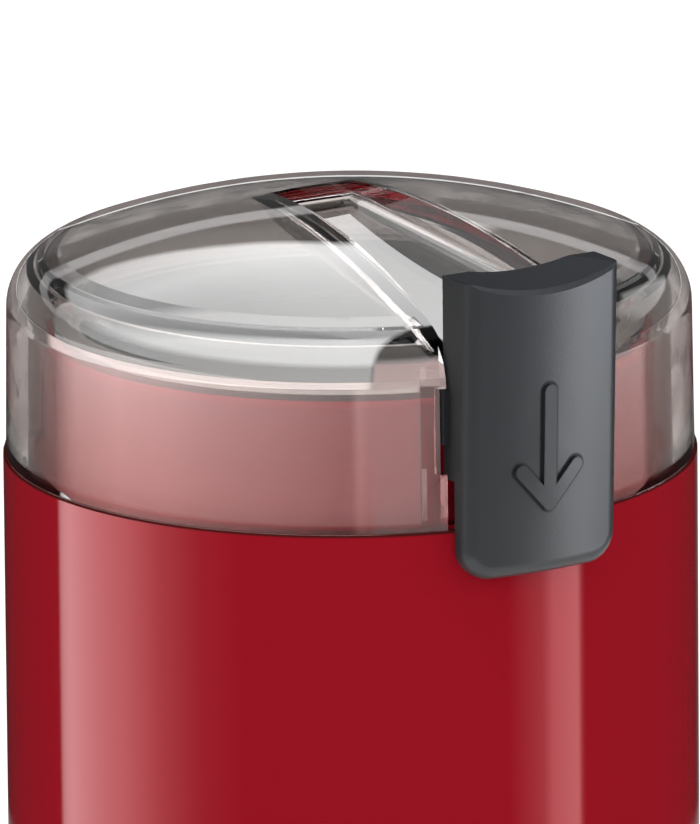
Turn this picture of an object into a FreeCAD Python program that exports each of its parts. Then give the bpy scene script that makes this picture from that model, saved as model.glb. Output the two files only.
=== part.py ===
import FreeCAD, Part
import math
import os
import Sketcher

# Electric spice grinder: a red cylindrical housing, a steel bowl and blade on top of a
# universal motor, and a smoked lid that carries the push button. Millimetres, +Z up, the
# origin on the motor's axis at the table, and the button on the -Y side.

document = FreeCAD.newDocument("spice_grinder")
sheet = document.addObject("Spreadsheet::Sheet", "Sizes")

# Driving dimensions

sizes = {
    "fit_gap": 0.05,             # radial clearance of a shaft in its bush
    "slide_gap": 0.3,            # clearance beside pieces that move past each other
    "hole_gap": 0.1,             # radial clearance of a screw, stud or coil in its hole
    "feet_height": 3.0,
    "seam_height": 150.0,        # where the lid meets the housing
    "housing_radius": 43.0,
    "housing_wall": 2.5,
    "seam_round": 0.3,
    "shelf_thickness": 3.0,
    "collar_inset": 5.2,         # from the housing's outside to the collar inside the lid
    "collar_wall": 2.2,
    "collar_height": 15.5,
    "flat_inset": 6.1,           # from the housing's outside to the flat behind the button
    "collar_round": 0.8,
    "lid_inset": 0.35,           # step from the housing's outside to the lid's
    "lid_draft": 0.25,
    "lid_wall": 2.7,
    "lid_height": 31.7,
    "shoulder_height": 18.2,
    "shoulder_radius": 7.0,
    "channel_front": 22.2,       # finger channel in the dome: width at the lid's edge
    "channel_rear": 11.6,        # width at its end, behind the axis
    "channel_back": 9.0,
    "channel_floor": 27.8,       # its height above the seam at the axis
    "channel_slope": 7.5,
    "channel_foot": 1.2,
    "channel_skin": 2.3,
    "pocket_inset": 3.9,         # from the housing's outside to the pocket's back wall
    "pocket_skin": 1.8,
    "rib_height": 8.0,
    "rib_width": 1.6,
    "rib_turn": 48.0,            # from the rear to each locating rib
    "button_width": 21.8,
    "button_gap": 0.35,          # beside the button in its pocket
    "button_top_proud": 4.2,     # how far the button's face stands out of the housing
    "button_low_proud": 2.9,
    "button_drop": 6.2,          # how far the button's plate reaches below the seam
    "button_step": 6.3,          # underside of its thick part above the seam
    "button_corner": 4.0,
    "button_edge": 2.0,
    "button_rim": 0.6,           # bevel along the dish's front edge
    "rim_tilt": 45.0,
    "plate_gap": 0.5,            # between the button's plate and the housing
    "dish_depth": 1.7,           # finger dish at the button's front
    "dish_width": 21.8,
    "button_travel": 3.5,
    "guide_low": 7.0,            # guide slots in the pocket's side walls
    "guide_high": 17.8,
    "guide_reach": 0.8,
    "guide_width": 1.6,
    "prong_width": 6.0,
    "prong_thickness": 1.5,
    "prong_drop": 0.5,
    "arrow_top": 18.1,
    "arrow_tip": 2.1,
    "arrow_spread": 3.9,
    "arrow_rise": 4.4,
    "arrow_stroke": 1.8,
    "arrow_relief": 0.45,
    "button_spring_radius": 1.5,
    "button_spring_wire": 0.45,
    "button_spring_length": 18.0,
    "button_spring_spread": 5.4,
    "spring_seat": 1.5,
    "gasket_thickness": 0.7,
    "gasket_gap": 0.5,           # between the bowl's wall and its gasket
    "bowl_gap": 2.0,             # between the bowl's wall and the collar
    "bowl_sheet": 0.6,
    "bowl_depth": 42.8,
    "rim_gap": 0.4,              # between the bowl's rim and the lid's pocket
    "bowl_corner": 7.0,
    "bowl_hub": 9.0,
    "bowl_hub_foot": 11.0,
    "bowl_hub_height": 5.0,
    "bowl_hole": 6.0,
    "seal_flange": 7.8,
    "seal_lip": 7.4,
    "seal_neck": 5.9,
    "seal_flange_thickness": 2.6,
    "seal_lip_height": 1.7,
    "blade_lift": 7.5,           # blade seat above the bowl's floor
    "blade_thickness": 1.5,
    "blade_reach": 28.5,
    "blade_root": 11.0,          # width of the blade at its hub
    "blade_tip": 6.5,
    "blade_rise": 8.0,           # one wing slopes up and the other down by this angle
    "blade_twist": 14.0,
    "blade_flat": 7.5,
    "blade_edge": 3.0,
    "stud_radius": 2.0,
    "stud_length": 6.9,
    "washer_radius": 5.5,
    "washer_thickness": 0.8,
    "nut_flats": 7.0,
    "nut_height": 3.2,
    "nut_dome": 5.4,
    "pedestal_height": 11.4,
    "pedestal_inner": 19.5,
    "pedestal_wall": 3.0,
    "carrier_thickness": 3.0,
    "carrier_gap": 0.4,
    "carrier_hole": 8.0,
    "carrier_skirt": 6.0,
    "boss_inset": 5.2,           # from the housing's outside to the screws
    "boss_radius": 3.0,
    "screw_radius": 1.5,
    "screw_head": 2.5,
    "screw_head_height": 1.8,
    "screw_length": 14.0,
    "pilot_depth": 13.0,
    "damper_length": 9.0,
    "damper_radius": 4.2,
    "damper_neck": 2.4,
    "damper_cap": 3.6,
    "damper_cap_height": 2.0,
    "damper_place": 14.6,
    "bridge_thickness": 2.0,
    "bridge_end": 2.0,           # beyond the legs
    "bridge_width": 18.0,
    "bridge_leg": 11.0,
    "leg_width": 8.0,
    "bearing_boss": 9.0,
    "bush_ball": 6.0,
    "bush_height": 8.0,
    "bush_lip": 4.5,
    "bush_lip_height": 1.4,
    "clip_thickness": 0.6,
    "clip_inner": 5.4,
    "stack_height": 25.0,
    "stack_length": 56.0,
    "stack_depth": 60.0,
    "stack_corner": 10.0,
    "yoke_side": 8.0,
    "yoke_end": 6.0,
    "pole_width": 20.0,
    "shoe_width": 30.0,
    "shoe_thickness": 3.3,
    "air_gap": 0.6,
    "coil_side_gap": 2.0,        # from the coil to the yoke's side
    "coil_overhang": 8.0,
    "coil_thickness": 4.7,
    "coil_corner": 4.0,
    "rotor_radius": 14.6,
    "rotor_slots": 12,
    "slot_circle": 11.4,
    "slot_radius": 1.9,
    "slot_mouth": 1.6,
    "winding_radius": 13.3,
    "winding_overhang": 8.0,
    "winding_chamfer": 3.0,
    "shaft_radius": 3.0,
    "shaft_tail": 8.0,
    "frame_leg": 26.5,
    "frame_thickness": 2.5,
    "frame_rim": 3.0,            # beyond the legs
    "saddle_height": 6.0,
    "saddle_width": 10.0,
    "frame_window_inner": 11.5,
    "frame_window_outer": 27.0,
    "commutator_radius": 9.0,
    "commutator_rise": 4.5,      # above the end frame
    "commutator_height": 12.0,
    "commutator_slot": 0.5,
    "commutator_slot_depth": 1.2,
    "commutator_collar": 10.6,
    "commutator_collar_height": 1.6,
    "thrust_radius": 5.0,
    "thrust_thickness": 1.0,
    "shaft_ring_thickness": 0.8,
    "holder_width": 8.0,
    "holder_height": 9.0,
    "holder_wall": 1.2,
    "holder_start": 11.0,
    "holder_end": 28.0,
    "brush_length": 11.5,
    "brush_wire": 0.5,
    "bolt_radius": 1.7,
    "bolt_head": 3.2,
    "bolt_head_height": 2.4,
    "switch_length": 16.0,
    "switch_width": 6.4,
    "switch_height": 7.8,
    "switch_inset": 3.9,         # from the slider's back to the plunger
    "switch_screw_place": 5.5,
    "switch_screw_radius": 1.0,
    "switch_screw_length": 6.0,
    "plunger_radius": 1.5,
    "plunger_rise": 3.5,
    "slider_gap": 0.6,           # between the button's prong and the slider at rest
    "slider_travel": 3.0,
    "slider_foot_height": 3.4,
    "slider_foot_depth": 3.5,
    "slider_arm": 13.0,
    "slider_spring_place": 11.0,
    "slider_spring_radius": 1.7,
    "slider_spring_wire": 0.45,
    "base_thickness": 2.5,
    "base_gap": 0.3,
    "base_ring": 10.0,
    "base_ring_wall": 1.6,
    "base_ring_height": 4.0,
    "vent_inner": 13.0,
    "vent_outer": 24.0,
    "vent_width": 2.4,
    "vent_count": 12,
    "base_boss_height": 20.0,
    "foot_radius": 6.0,
    "foot_inset": 12.0,
    "foot_stem": 2.4,
    "foot_cap": 3.4,
    "foot_cap_height": 1.5,
    "gland_height": 15.0,
    "gland_hole": 5.0,
    "gland_bore": 3.35,
    "gland_flange": 7.0,
    "gland_flange_thickness": 1.8,
    "gland_inner_flange": 6.4,
    "capacitor_length": 18.0,
    "capacitor_width": 8.0,
    "capacitor_height": 14.0,
    "capacitor_inset": 14.5,     # from the housing's outside to the capacitor's middle
    "fuse_radius": 1.7,
    "fuse_length": 10.0,
}


class Size:
    """A size: its present value, and the spreadsheet formula that gives it."""

    def __init__(self, value, formula):
        self.value = value
        self.formula = formula

    def __add__(self, other):
        other = as_size(other)
        return Size(self.value + other.value, f"({self.formula} + {other.formula})")

    def __sub__(self, other):
        other = as_size(other)
        return Size(self.value - other.value, f"({self.formula} - {other.formula})")

    def __mul__(self, other):
        other = as_size(other)
        return Size(self.value * other.value, f"({self.formula} * {other.formula})")

    def __truediv__(self, other):
        other = as_size(other)
        return Size(self.value / other.value, f"({self.formula} / {other.formula})")

    def __neg__(self):
        return Size(-self.value, f"(0 - {self.formula})")


def as_size(item):
    if isinstance(item, Size):
        return item
    return Size(float(item), format(float(item), ".9f"))


def root(size):
    return Size(math.sqrt(size.value), f"sqrt({size.formula})")


def cosine(angle):
    angle = as_size(angle)
    return Size(math.cos(math.radians(angle.value)), f"cos({angle.formula} * 1 deg)")


def sine(angle):
    angle = as_size(angle)
    return Size(math.sin(math.radians(angle.value)), f"sin({angle.formula} * 1 deg)")


for row, (alias, value) in enumerate(sizes.items(), start=1):
    sheet.set(f"A{row}", alias.replace("_", " "))
    sheet.set(f"B{row}", str(value))
    sheet.setAlias(f"B{row}", alias)
document.recompute()


class Driving:
    """Gives each driving dimension by its name in the spreadsheet."""

    def __getattr__(self, alias):
        return Size(float(getattr(sheet, alias)), f"Sizes.{alias}")


given = Driving()
zero = as_size(0)
upright = FreeCAD.Vector(0, 0, 1)
along_y = FreeCAD.Rotation(FreeCAD.Vector(1, 0, 0), -90)
plain = FreeCAD.Rotation()


# Building blocks, each bound to the spreadsheet

def bind(item, **lengths):
    for name, length in lengths.items():
        item.setExpression(name, as_size(length).formula)
    return item


def place(item, x, y, z, rotation):
    item.Placement = FreeCAD.Placement(FreeCAD.Vector(0, 0, 0), rotation)
    for axis, length in (("x", x), ("y", y), ("z", z)):
        item.setExpression("Placement.Base." + axis, as_size(length).formula)
    return item


def block(length, width, height, x, y, z, rotation=plain):
    item = document.addObject("Part::Box", "block")
    bind(item, Length=length, Width=width, Height=height)
    return place(item, x, y, z, rotation)


def centred_block(length, width, height, x, y, z):
    return block(length, width, height, as_size(x) - as_size(length) / 2,
                 as_size(y) - as_size(width) / 2, z)


def tapered_run(near_half, far_half, length, height, y, z, rotation):
    """A straight run along the Y axis whose width changes from its near end to its far end."""
    item = document.addObject("Part::Wedge", "run")
    bind(item, Xmax=near_half, Xmin=-near_half, X2max=far_half, X2min=-far_half, Ymax=length,
         Ymin=zero, Zmax=height, Zmin=zero, Z2max=height, Z2min=zero)
    return place(item, 0, y, z, rotation)


def rod(radius, height, x=0, y=0, z=0, rotation=plain):
    item = document.addObject("Part::Cylinder", "rod")
    bind(item, Radius=radius, Height=height)
    return place(item, x, y, z, rotation)


def cut(base, *tools):
    item = document.addObject("Part::Cut", "cut")
    item.Base = base
    item.Tool = tools[0] if len(tools) == 1 else fuse(*tools)
    return item


def fuse(*parts):
    item = document.addObject("Part::MultiFuse", "fuse")
    item.Shapes = list(parts)
    return item


def common(*parts):
    item = document.addObject("Part::MultiCommon", "common")
    item.Shapes = list(parts)
    return item


def group(*parts):
    item = document.addObject("Part::Compound", "group")
    item.Links = list(parts)
    return item


def turned_copy(source, angle):
    """The same solid again, turned about the motor's axis."""
    item = document.addObject("Part::Compound", "turned_copy")
    item.Links = [source]
    item.Placement = FreeCAD.Placement(FreeCAD.Vector(0, 0, 0), FreeCAD.Rotation(upright, angle))
    return item


def tube(outer, inner, height, z):
    return cut(rod(outer, height, z=z), rod(inner, height, z=z))


def rounded(base, radius, choose, kind="Part::Fillet"):
    """Rounds the edges that choose() picks."""
    document.recompute()
    item = document.addObject(kind, "rounded")
    item.Base = base
    edges = enumerate(base.Shape.Edges, start=1)
    item.Edges = [(number, radius.value, radius.value) for number, edge in edges if choose(edge)]
    return item


def is_vertical(edge):
    if not isinstance(edge.Curve, Part.Line):
        return False
    return abs(abs(edge.Curve.Direction.z) - 1) < 1e-6


def put_points(sketch, points):
    """Closes an outline through points (across, up), each held by two bound dimensions. A third
    value in a point turns the line that leaves it into an arc of that radius, which bulges to
    the right of its way when it is positive."""
    spots = [FreeCAD.Vector(as_size(p[0]).value, as_size(p[1]).value, 0) for p in points]
    ends = []
    for index, point in enumerate(points):
        start, stop = spots[index], spots[(index + 1) % len(points)]
        if len(point) == 2:
            edge = Part.LineSegment(start, stop)
        else:
            chord = stop - start
            radius = abs(point[2].value)
            rise = radius - math.sqrt(radius ** 2 - chord.Length ** 2 / 4)
            side = FreeCAD.Vector(chord.y, -chord.x, 0).normalize()
            if point[3] == "left":
                side = side * -1
            edge = Part.Arc(start, (start + stop) * 0.5 + side * rise, stop)
        number = sketch.addGeometry(edge, False)
        first = 1 if (sketch.getPoint(number, 1) - start).Length < 1e-6 else 2
        ends.append((number, first, 3 - first))
    for index, point in enumerate(points):
        number, first, _ = ends[index]
        last_number, _, last_end = ends[index - 1]
        sketch.addConstraint(Sketcher.Constraint("Coincident", last_number, last_end, number, first))
        hold(sketch, "DistanceX", -2, number, first, as_size(point[0]))
        hold(sketch, "DistanceY", -1, number, first, as_size(point[1]))
        if len(point) > 2:
            place_in_list = sketch.addConstraint(
                Sketcher.Constraint("Radius", number, point[2].value))
            sketch.setExpression(f"Constraints[{place_in_list}]", point[2].formula)


def hold(sketch, kind, axis, number, end, length):
    if length.value == 0:
        sketch.addConstraint(Sketcher.Constraint("PointOnObject", number, end, axis))
        return
    place_in_list = sketch.addConstraint(
        Sketcher.Constraint(kind, -1, 1, number, end, length.value))
    sketch.setExpression(f"Constraints[{place_in_list}]", length.formula)


def new_sketch(body, plane):
    sketch = body.newObject("Sketcher::SketchObject", "outline")
    planes = [item for item in body.Origin.OriginFeatures if item.Role == plane]
    sketch.AttachmentSupport = (planes[0], [""])
    sketch.MapMode = "FlatFace"
    return sketch


def turned(points):
    """A body turned about Z from an outline of (radius, height) points."""
    body = document.addObject("PartDesign::Body", "turned")
    sketch = new_sketch(body, "XZ_Plane")
    put_points(sketch, points)
    document.recompute()
    revolution = body.newObject("PartDesign::Revolution", "revolution")
    revolution.Profile = sketch
    revolution.ReferenceAxis = (sketch, ["V_Axis"])
    revolution.Angle = 360.0
    body.Tip = revolution
    return body


def box_points(x_low, x_high, y_low, y_high):
    return [(x_low, y_low), (x_high, y_low), (x_high, y_high), (x_low, y_high)]


def slotted(body, outlines, low, height, count):
    """Cuts an outline of (x, y) points through a body, repeated round the axis."""
    sketch = new_sketch(body, "XY_Plane")
    sketch.setExpression("AttachmentOffset.Base.z", as_size(low).formula)
    for points in outlines:
        put_points(sketch, points)
    document.recompute()
    pocket = body.newObject("PartDesign::Pocket", "pocket")
    pocket.Profile = sketch
    pocket.setExpression("Length", as_size(height).formula)
    pocket.Reversed = True
    document.recompute()
    pattern = body.newObject("PartDesign::PolarPattern", "pattern")
    pattern.Originals = [pocket]
    pattern.Axis = (sketch, ["N_Axis"])
    pattern.Angle = 360.0
    pattern.setExpression("Occurrences", count.formula)
    body.Tip = pattern
    return body


def coil_spring(radius, wire, low, length, turns, x=0.0, y=0.0, rotation=plain):
    """A compression spring: one unbroken wire, flat at both ends. Its height holds the wire."""
    pitch = (length - wire * 2) / turns
    helix = Part.makeHelix(pitch, length - wire * 2, radius - wire)
    start = FreeCAD.Vector(radius - wire, 0, 0)
    section = Part.makePolygon([start + FreeCAD.Vector(a * wire, 0, b * wire)
                                for a, b in ((-1, -1), (1, -1), (1, 1), (-1, 1), (-1, -1))])
    sweep = Part.Wire(helix).makePipeShell([section], True, True)
    sweep.Placement = FreeCAD.Placement(
        FreeCAD.Vector(x, y, low), rotation) * FreeCAD.Placement(FreeCAD.Vector(0, 0, wire), plain)
    return sweep


nodes = {}


def node(label, item):
    item.Label = label
    nodes[label] = item
    return item


# Heights that the stack of pieces gives, from the top down

seam = given.seam_height
collar_top = seam + given.collar_height
rim_low = collar_top + given.gasket_thickness
bowl_floor = rim_low + given.bowl_sheet - given.bowl_depth
bowl_low = bowl_floor - given.bowl_sheet
carrier_top = bowl_low - given.pedestal_height
carrier_low = carrier_top - given.carrier_thickness
bridge_top = carrier_low - given.damper_length
bridge_low = bridge_top - given.bridge_thickness
stack_top = bridge_low - given.bridge_leg
stack_low = stack_top - given.stack_height
frame_top = stack_low - given.frame_leg
frame_low = frame_top - given.frame_thickness
base_low = given.feet_height
base_top = base_low + given.base_thickness
blade_seat = bowl_floor + given.blade_lift


# Distances from the axis that follow from the housing's outside or from the motor

inner_radius = given.housing_radius - given.housing_wall
collar_radius = given.housing_radius - given.collar_inset
collar_flat = given.housing_radius - given.flat_inset
lid_radius = given.housing_radius - given.lid_inset
pocket_depth = given.housing_radius - given.pocket_inset
button_top_reach = given.housing_radius + given.button_top_proud
button_low_reach = given.housing_radius + given.button_low_proud
bowl_outer = collar_radius - given.collar_wall - given.bowl_gap
bowl_inner = bowl_outer - given.bowl_sheet
bowl_rim = collar_flat - given.rim_gap
boss_circle = given.housing_radius - given.boss_inset
slider_back = pocket_depth + given.slide_gap + given.hole_gap
switch_place = slider_back - given.switch_inset
spring_place = slider_back + given.button_spring_radius + given.slide_gap + 0.2
leg_place = given.stack_length / 2 - given.yoke_side / 2
bridge_length = leg_place * 2 + given.leg_width + given.bridge_end * 2
frame_radius = leg_place + given.leg_width / 2 + given.frame_rim
foot_circle = given.housing_radius - given.foot_inset
screw_hole = given.screw_radius + given.hole_gap
carrier_turns = (90, 210, 330)
base_turns = (30, 150, 270)


# Housing: outer wall, shelf under the lid, collar inside the lid, bosses and cord hole

def housing():
    shelf_low = seam - given.shelf_thickness
    collar_inner = collar_radius - given.collar_wall
    shell = turned([
        (given.housing_radius, base_low),
        (given.housing_radius, seam - given.seam_round, given.seam_round, "right"),
        (given.housing_radius - given.seam_round, seam),
        (collar_radius, seam),
        (collar_radius, collar_top - given.collar_round, given.collar_round, "right"),
        (collar_radius - given.collar_round, collar_top),
        (collar_inner, collar_top),
        (collar_inner, shelf_low),
        (inner_radius, shelf_low),
        (inner_radius, base_low),
    ])
    bosses = []
    pilots = []
    for angle in carrier_turns:
        x = boss_circle * cosine(angle)
        y = boss_circle * sine(angle)
        bosses.append(rod(given.boss_radius, shelf_low - carrier_top + 0.2, x, y, carrier_top))
        pilots.append(rod(given.screw_radius, given.pilot_depth, x, y, carrier_top))
    for angle in base_turns:
        x = boss_circle * cosine(angle)
        y = boss_circle * sine(angle)
        bosses.append(rod(given.boss_radius, given.base_boss_height, x, y, base_top))
        pilots.append(rod(given.screw_radius, given.pilot_depth, x, y, base_top))
    reach = given.housing_radius
    flat = block(reach * 2, reach, given.lid_height, -reach, -collar_flat - reach, seam)
    slot_width = given.prong_width + given.slide_gap * 2
    slot_depth = given.prong_thickness + given.slide_gap * 2
    slot = block(slot_width, slot_depth, given.lid_height * 2, -slot_width / 2,
                 -slider_back - slot_depth + given.slide_gap, seam - given.lid_height + 1)
    gland = rod(given.gland_hole, given.housing_radius, 0, given.housing_radius / 2,
                given.gland_height, along_y)
    whole = common(fuse(shell, *bosses), rod(given.housing_radius, collar_top))
    return cut(whole, flat, slot, gland, *pilots)


node("housing", housing())


# Lid: smoked dome with a finger channel, a pocket for the button and its guide slots

def lid():
    wall = given.lid_wall
    top_radius = lid_radius - given.lid_draft
    centre = top_radius - given.shoulder_radius
    rise = given.lid_height - given.shoulder_height
    dome = ((centre * centre + rise * rise - given.shoulder_radius * given.shoulder_radius)
            / ((rise - given.shoulder_radius) * 2))
    ball_height = seam + given.lid_height - dome

    def shape(inset):
        shoulder = given.shoulder_radius - inset
        share = (dome - inset) / (dome - given.shoulder_radius)
        return turned([
            (0, seam),
            (lid_radius - inset, seam),
            (top_radius - inset, seam + given.shoulder_height, shoulder, "right"),
            (centre * share, ball_height + (seam + given.shoulder_height - ball_height) * share,
             dome - inset, "right"),
            (0, seam + given.lid_height - inset),
        ])

    slope = FreeCAD.Rotation(FreeCAD.Vector(1, 0, 0), given.channel_slope.value)
    height = given.lid_height

    def channel(skin, foot):
        low = seam + given.channel_floor - skin
        run = tapered_run(given.channel_front / 2 + skin, given.channel_rear / 2 + skin,
                          lid_radius + given.channel_back + skin, height,
                          -lid_radius * cosine(given.channel_slope),
                          low - lid_radius * sine(given.channel_slope), slope)

        def is_foot(edge):
            middle = edge.CenterOfMass
            floor = low.value + middle.y * math.tan(math.radians(given.channel_slope.value))
            return abs(middle.z - floor) < 0.2 and middle.y > -lid_radius.value + 2

        return rounded(run, foot, is_foot)

    def pocket(skin):
        half = given.button_width / 2 + given.button_gap + skin
        back = pocket_depth - skin
        return block(half * 2, lid_radius, height * 2, -half, -back - lid_radius,
                     seam - height / 2)

    pocket_half = given.button_width / 2 + given.button_gap
    guide = block(pocket_half * 2 + given.guide_reach * 2, given.guide_width + given.slide_gap * 2,
                  given.guide_high - given.guide_low, -pocket_half - given.guide_reach,
                  -slider_back - given.guide_width - given.slide_gap,
                  seam + given.guide_low)
    grown = given.channel_foot + given.channel_skin
    hollow = cut(shape(wall), channel(given.channel_skin, grown), pocket(given.pocket_skin))
    shell = cut(shape(zero), channel(zero, given.channel_foot), pocket(zero), guide)
    ribs = []
    for side in (-1, 1):
        angle = given.rib_turn.value * side
        rib = block(given.rib_width, lid_radius - wall - collar_radius
                    + wall / 2 - given.slide_gap, given.rib_height,
                    -given.rib_width / 2, collar_radius + given.slide_gap, seam)
        ribs.append(turned_copy(rib, angle))
    seats = []
    seat_depth = given.housing_radius - pocket_depth
    for side in (-1, 1):
        seats.append(centred_block(
            (pocket_half - given.button_spring_spread) * 2 + given.pocket_skin / 2, seat_depth,
            given.spring_seat, given.button_spring_spread * side
            + given.pocket_skin / 4 * side, -pocket_depth - seat_depth / 2, seam))
    seats = common(group(*seats), rod(lid_radius, given.lid_height, z=seam))
    return fuse(cut(shell, hollow), seats, *ribs)


node("lid", lid())


# Push button: satin cap with a finger dish, guide ribs, a thin plate over the seam and a prong

def push_button():
    low = seam - given.button_drop
    high = seam + given.lid_height
    step = seam + given.button_step
    half = given.button_width / 2
    rear = slider_back + 0.2
    face = turned([
        (0, low),
        (button_low_reach, low),
        (button_top_reach, high),
        (0, high),
    ])
    whole = block(given.button_width, button_top_reach, given.lid_height
                  + given.button_drop, -half, -rear - button_top_reach, low)

    def is_corner(edge):
        return abs(edge.BoundBox.ZLength) < 1e-6 and edge.BoundBox.ZMax < low.value + 1e-6 \
            and edge.BoundBox.XLength < 1e-6

    whole = rounded(whole, given.button_corner, is_corner)
    body = common(whole, face)

    dish_radius = (given.dish_width * given.dish_width / 4 + given.dish_depth
                   * given.dish_depth) / (given.dish_depth * 2)

    def trough(radius, tilt, depth):
        """A rod that lies across the button's top and slopes down to its face."""
        reach = button_top_reach
        return rod(radius, reach * 3, 0,
                   -reach - reach * cosine(tilt) - radius * sine(tilt),
                   high - depth - reach * sine(tilt) + radius * cosine(tilt),
                   FreeCAD.Rotation(FreeCAD.Vector(1, 0, 0), tilt.value) * along_y)

    def is_side(edge):
        box = edge.BoundBox
        return box.ZLength > 10 and box.YMax < -given.housing_radius.value

    body = cut(rounded(body, given.button_edge, is_side),
               trough(dish_radius, given.channel_slope, given.dish_depth),
               trough(dish_radius * 2.7, given.rim_tilt, given.dish_depth + given.button_rim))
    plate_back = rod(given.housing_radius + given.plate_gap, given.button_step
                     + given.button_drop + 1, z=low - 1)
    wells = []
    springs_low = seam + given.spring_seat
    for side in (-1, 1):
        wells.append(rod(given.button_spring_radius + given.slide_gap,
                         springs_low + given.button_spring_length - step,
                         given.button_spring_spread * side, -spring_place, step))
    ribs = []
    rib_low = seam + given.guide_low + given.button_travel + given.slide_gap
    rib_height = given.guide_high - given.guide_low - given.button_travel - given.slide_gap * 2
    reach = given.button_gap + given.guide_reach - given.slide_gap
    for side in (-1, 1):
        start = half - 1 if side > 0 else -half - reach
        ribs.append(block(reach + 1, given.guide_width, rib_height, start,
                          -slider_back - given.guide_width, rib_low))
    prong = block(given.prong_width, given.prong_thickness, given.button_step
                  + given.prong_drop + 1, -given.prong_width / 2,
                  -slider_back - given.prong_thickness, seam - given.prong_drop)
    return fuse(cut(body, plate_back, *wells), prong, *ribs, arrow_relief())


def arrow_relief():
    """A raised arrow that points down: the generic sign for pressing."""
    stroke = given.arrow_stroke
    tip = seam + given.arrow_tip
    depth = button_top_reach
    length = root(given.arrow_spread * given.arrow_spread + given.arrow_rise * given.arrow_rise)
    lean = math.degrees(math.atan2(given.arrow_spread.value, given.arrow_rise.value))
    shaft = block(stroke, depth, given.arrow_top - given.arrow_tip - stroke, -stroke / 2,
                  -depth - stroke, tip + stroke / 2)
    bars = [shaft, rod(stroke / 2, depth, 0, -depth - stroke, seam + given.arrow_top
                       - stroke / 2, along_y)]
    for side in (-1, 1):
        turn = FreeCAD.Rotation(FreeCAD.Vector(0, 1, 0), lean * side)
        offset = cosine(lean) * stroke / 2
        drop = sine(lean) * stroke / 2 * side
        bars.append(block(stroke, depth, length, -offset, -depth - stroke,
                          tip + drop + stroke / 2, turn))
        bars.append(rod(stroke / 2, depth, given.arrow_spread * side, -depth - stroke,
                        tip + given.arrow_rise + stroke / 2, along_y))
    bars.append(rod(stroke / 2, depth, 0, -depth - stroke, tip + stroke / 2, along_y))
    low = seam - given.button_drop
    high = seam + given.lid_height
    skin = turned([
        (button_low_reach - 1, low),
        (button_low_reach + given.arrow_relief, low),
        (button_top_reach + given.arrow_relief, high),
        (button_top_reach - 1, high),
    ])
    return common(fuse(*bars), skin)


node("push_button", push_button())


# Springs that bring the button back up

def button_springs():
    item = document.addObject("Part::Feature", "button_springs")
    coils = [coil_spring(given.button_spring_radius.value, given.button_spring_wire.value / 2,
                         (seam + given.spring_seat).value, given.button_spring_length.value, 7,
                         given.button_spring_spread.value * side, -spring_place.value)
             for side in (-1, 1)]
    item.Shape = Part.makeCompound(coils)
    return item


node("button_springs", button_springs())


# Bowl, gasket and shaft seal

def bowl():
    sheet_wall = given.bowl_sheet
    corner = bowl_inner - given.bowl_corner
    corner_height = bowl_floor + given.bowl_corner
    hub_top = bowl_floor + given.bowl_hub_height
    return turned([
        (given.bowl_hole, hub_top - sheet_wall),
        (given.bowl_hub - sheet_wall / 2, hub_top - sheet_wall),
        (given.bowl_hub_foot - sheet_wall / 2, bowl_low),
        (corner, bowl_low, given.bowl_corner + sheet_wall, "right"),
        (bowl_outer, corner_height),
        (bowl_outer, rim_low),
        (bowl_rim, rim_low),
        (bowl_rim, rim_low + sheet_wall),
        (bowl_outer, rim_low + sheet_wall, sheet_wall, "left"),
        (bowl_inner, rim_low),
        (bowl_inner, corner_height, given.bowl_corner, "left"),
        (corner, bowl_floor),
        (given.bowl_hub_foot, bowl_floor),
        (given.bowl_hub, hub_top),
        (given.bowl_hole, hub_top),
    ])


node("bowl", bowl())
node("bowl_gasket", tube(bowl_rim + 0.2, (bowl_outer + given.gasket_gap), given.gasket_thickness,
                         collar_top))


def shaft_seal():
    hub_top = bowl_floor + given.bowl_hub_height
    flange_top = hub_top - given.bowl_sheet - given.hole_gap
    bore = given.shaft_radius + given.fit_gap
    return turned([
        (bore, flange_top - given.seal_flange_thickness),
        (given.seal_flange, flange_top - given.seal_flange_thickness),
        (given.seal_flange, flange_top),
        (given.seal_neck, flange_top),
        (given.seal_neck, hub_top + given.hole_gap),
        (given.seal_lip, hub_top + given.hole_gap),
        (given.seal_neck, hub_top + given.seal_lip_height),
        (bore, hub_top + given.seal_lip_height),
    ])


node("shaft_seal", shaft_seal())


# Blade with two twisted wings, its washer and cap nut

def blade():
    flat = given.blade_flat
    thick = given.blade_thickness
    hub = rod(flat, thick, z=blade_seat)
    wings = []
    for side in (-1, 1):
        body = document.addObject("PartDesign::Body", "wing")
        sketch = new_sketch(body, "XY_Plane")
        put_points(sketch, [
            (flat - given.blade_thickness, -given.blade_root / 2),
            (given.blade_reach - given.blade_edge, -given.blade_tip / 2),
            (given.blade_reach, zero),
            (given.blade_reach - given.blade_edge, given.blade_tip / 2),
            (flat - given.blade_thickness, given.blade_root / 2),
        ])
        document.recompute()
        pad = body.newObject("PartDesign::Pad", "pad")
        pad.Profile = sketch
        pad.setExpression("Length", thick.formula)
        body.Tip = pad
        tilt = FreeCAD.Rotation(FreeCAD.Vector(0, 1, 0), -given.blade_rise.value * side)
        half_turn = FreeCAD.Rotation(upright, 0 if side > 0 else 180)
        twist = FreeCAD.Rotation(FreeCAD.Vector(1, 0, 0), given.blade_twist.value)
        place(body, 0, 0, blade_seat - sine(given.blade_rise) * flat * side,
              half_turn * tilt * twist)
        wings.append(body)
    whole = fuse(hub, *wings)
    return cut(whole, rod(given.stud_radius + given.fit_gap, thick * 3, z=blade_seat - thick))


node("blade", blade())
node("blade_washer", tube(given.washer_radius, given.stud_radius + given.fit_gap,
                          given.washer_thickness, blade_seat + given.blade_thickness))


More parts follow.
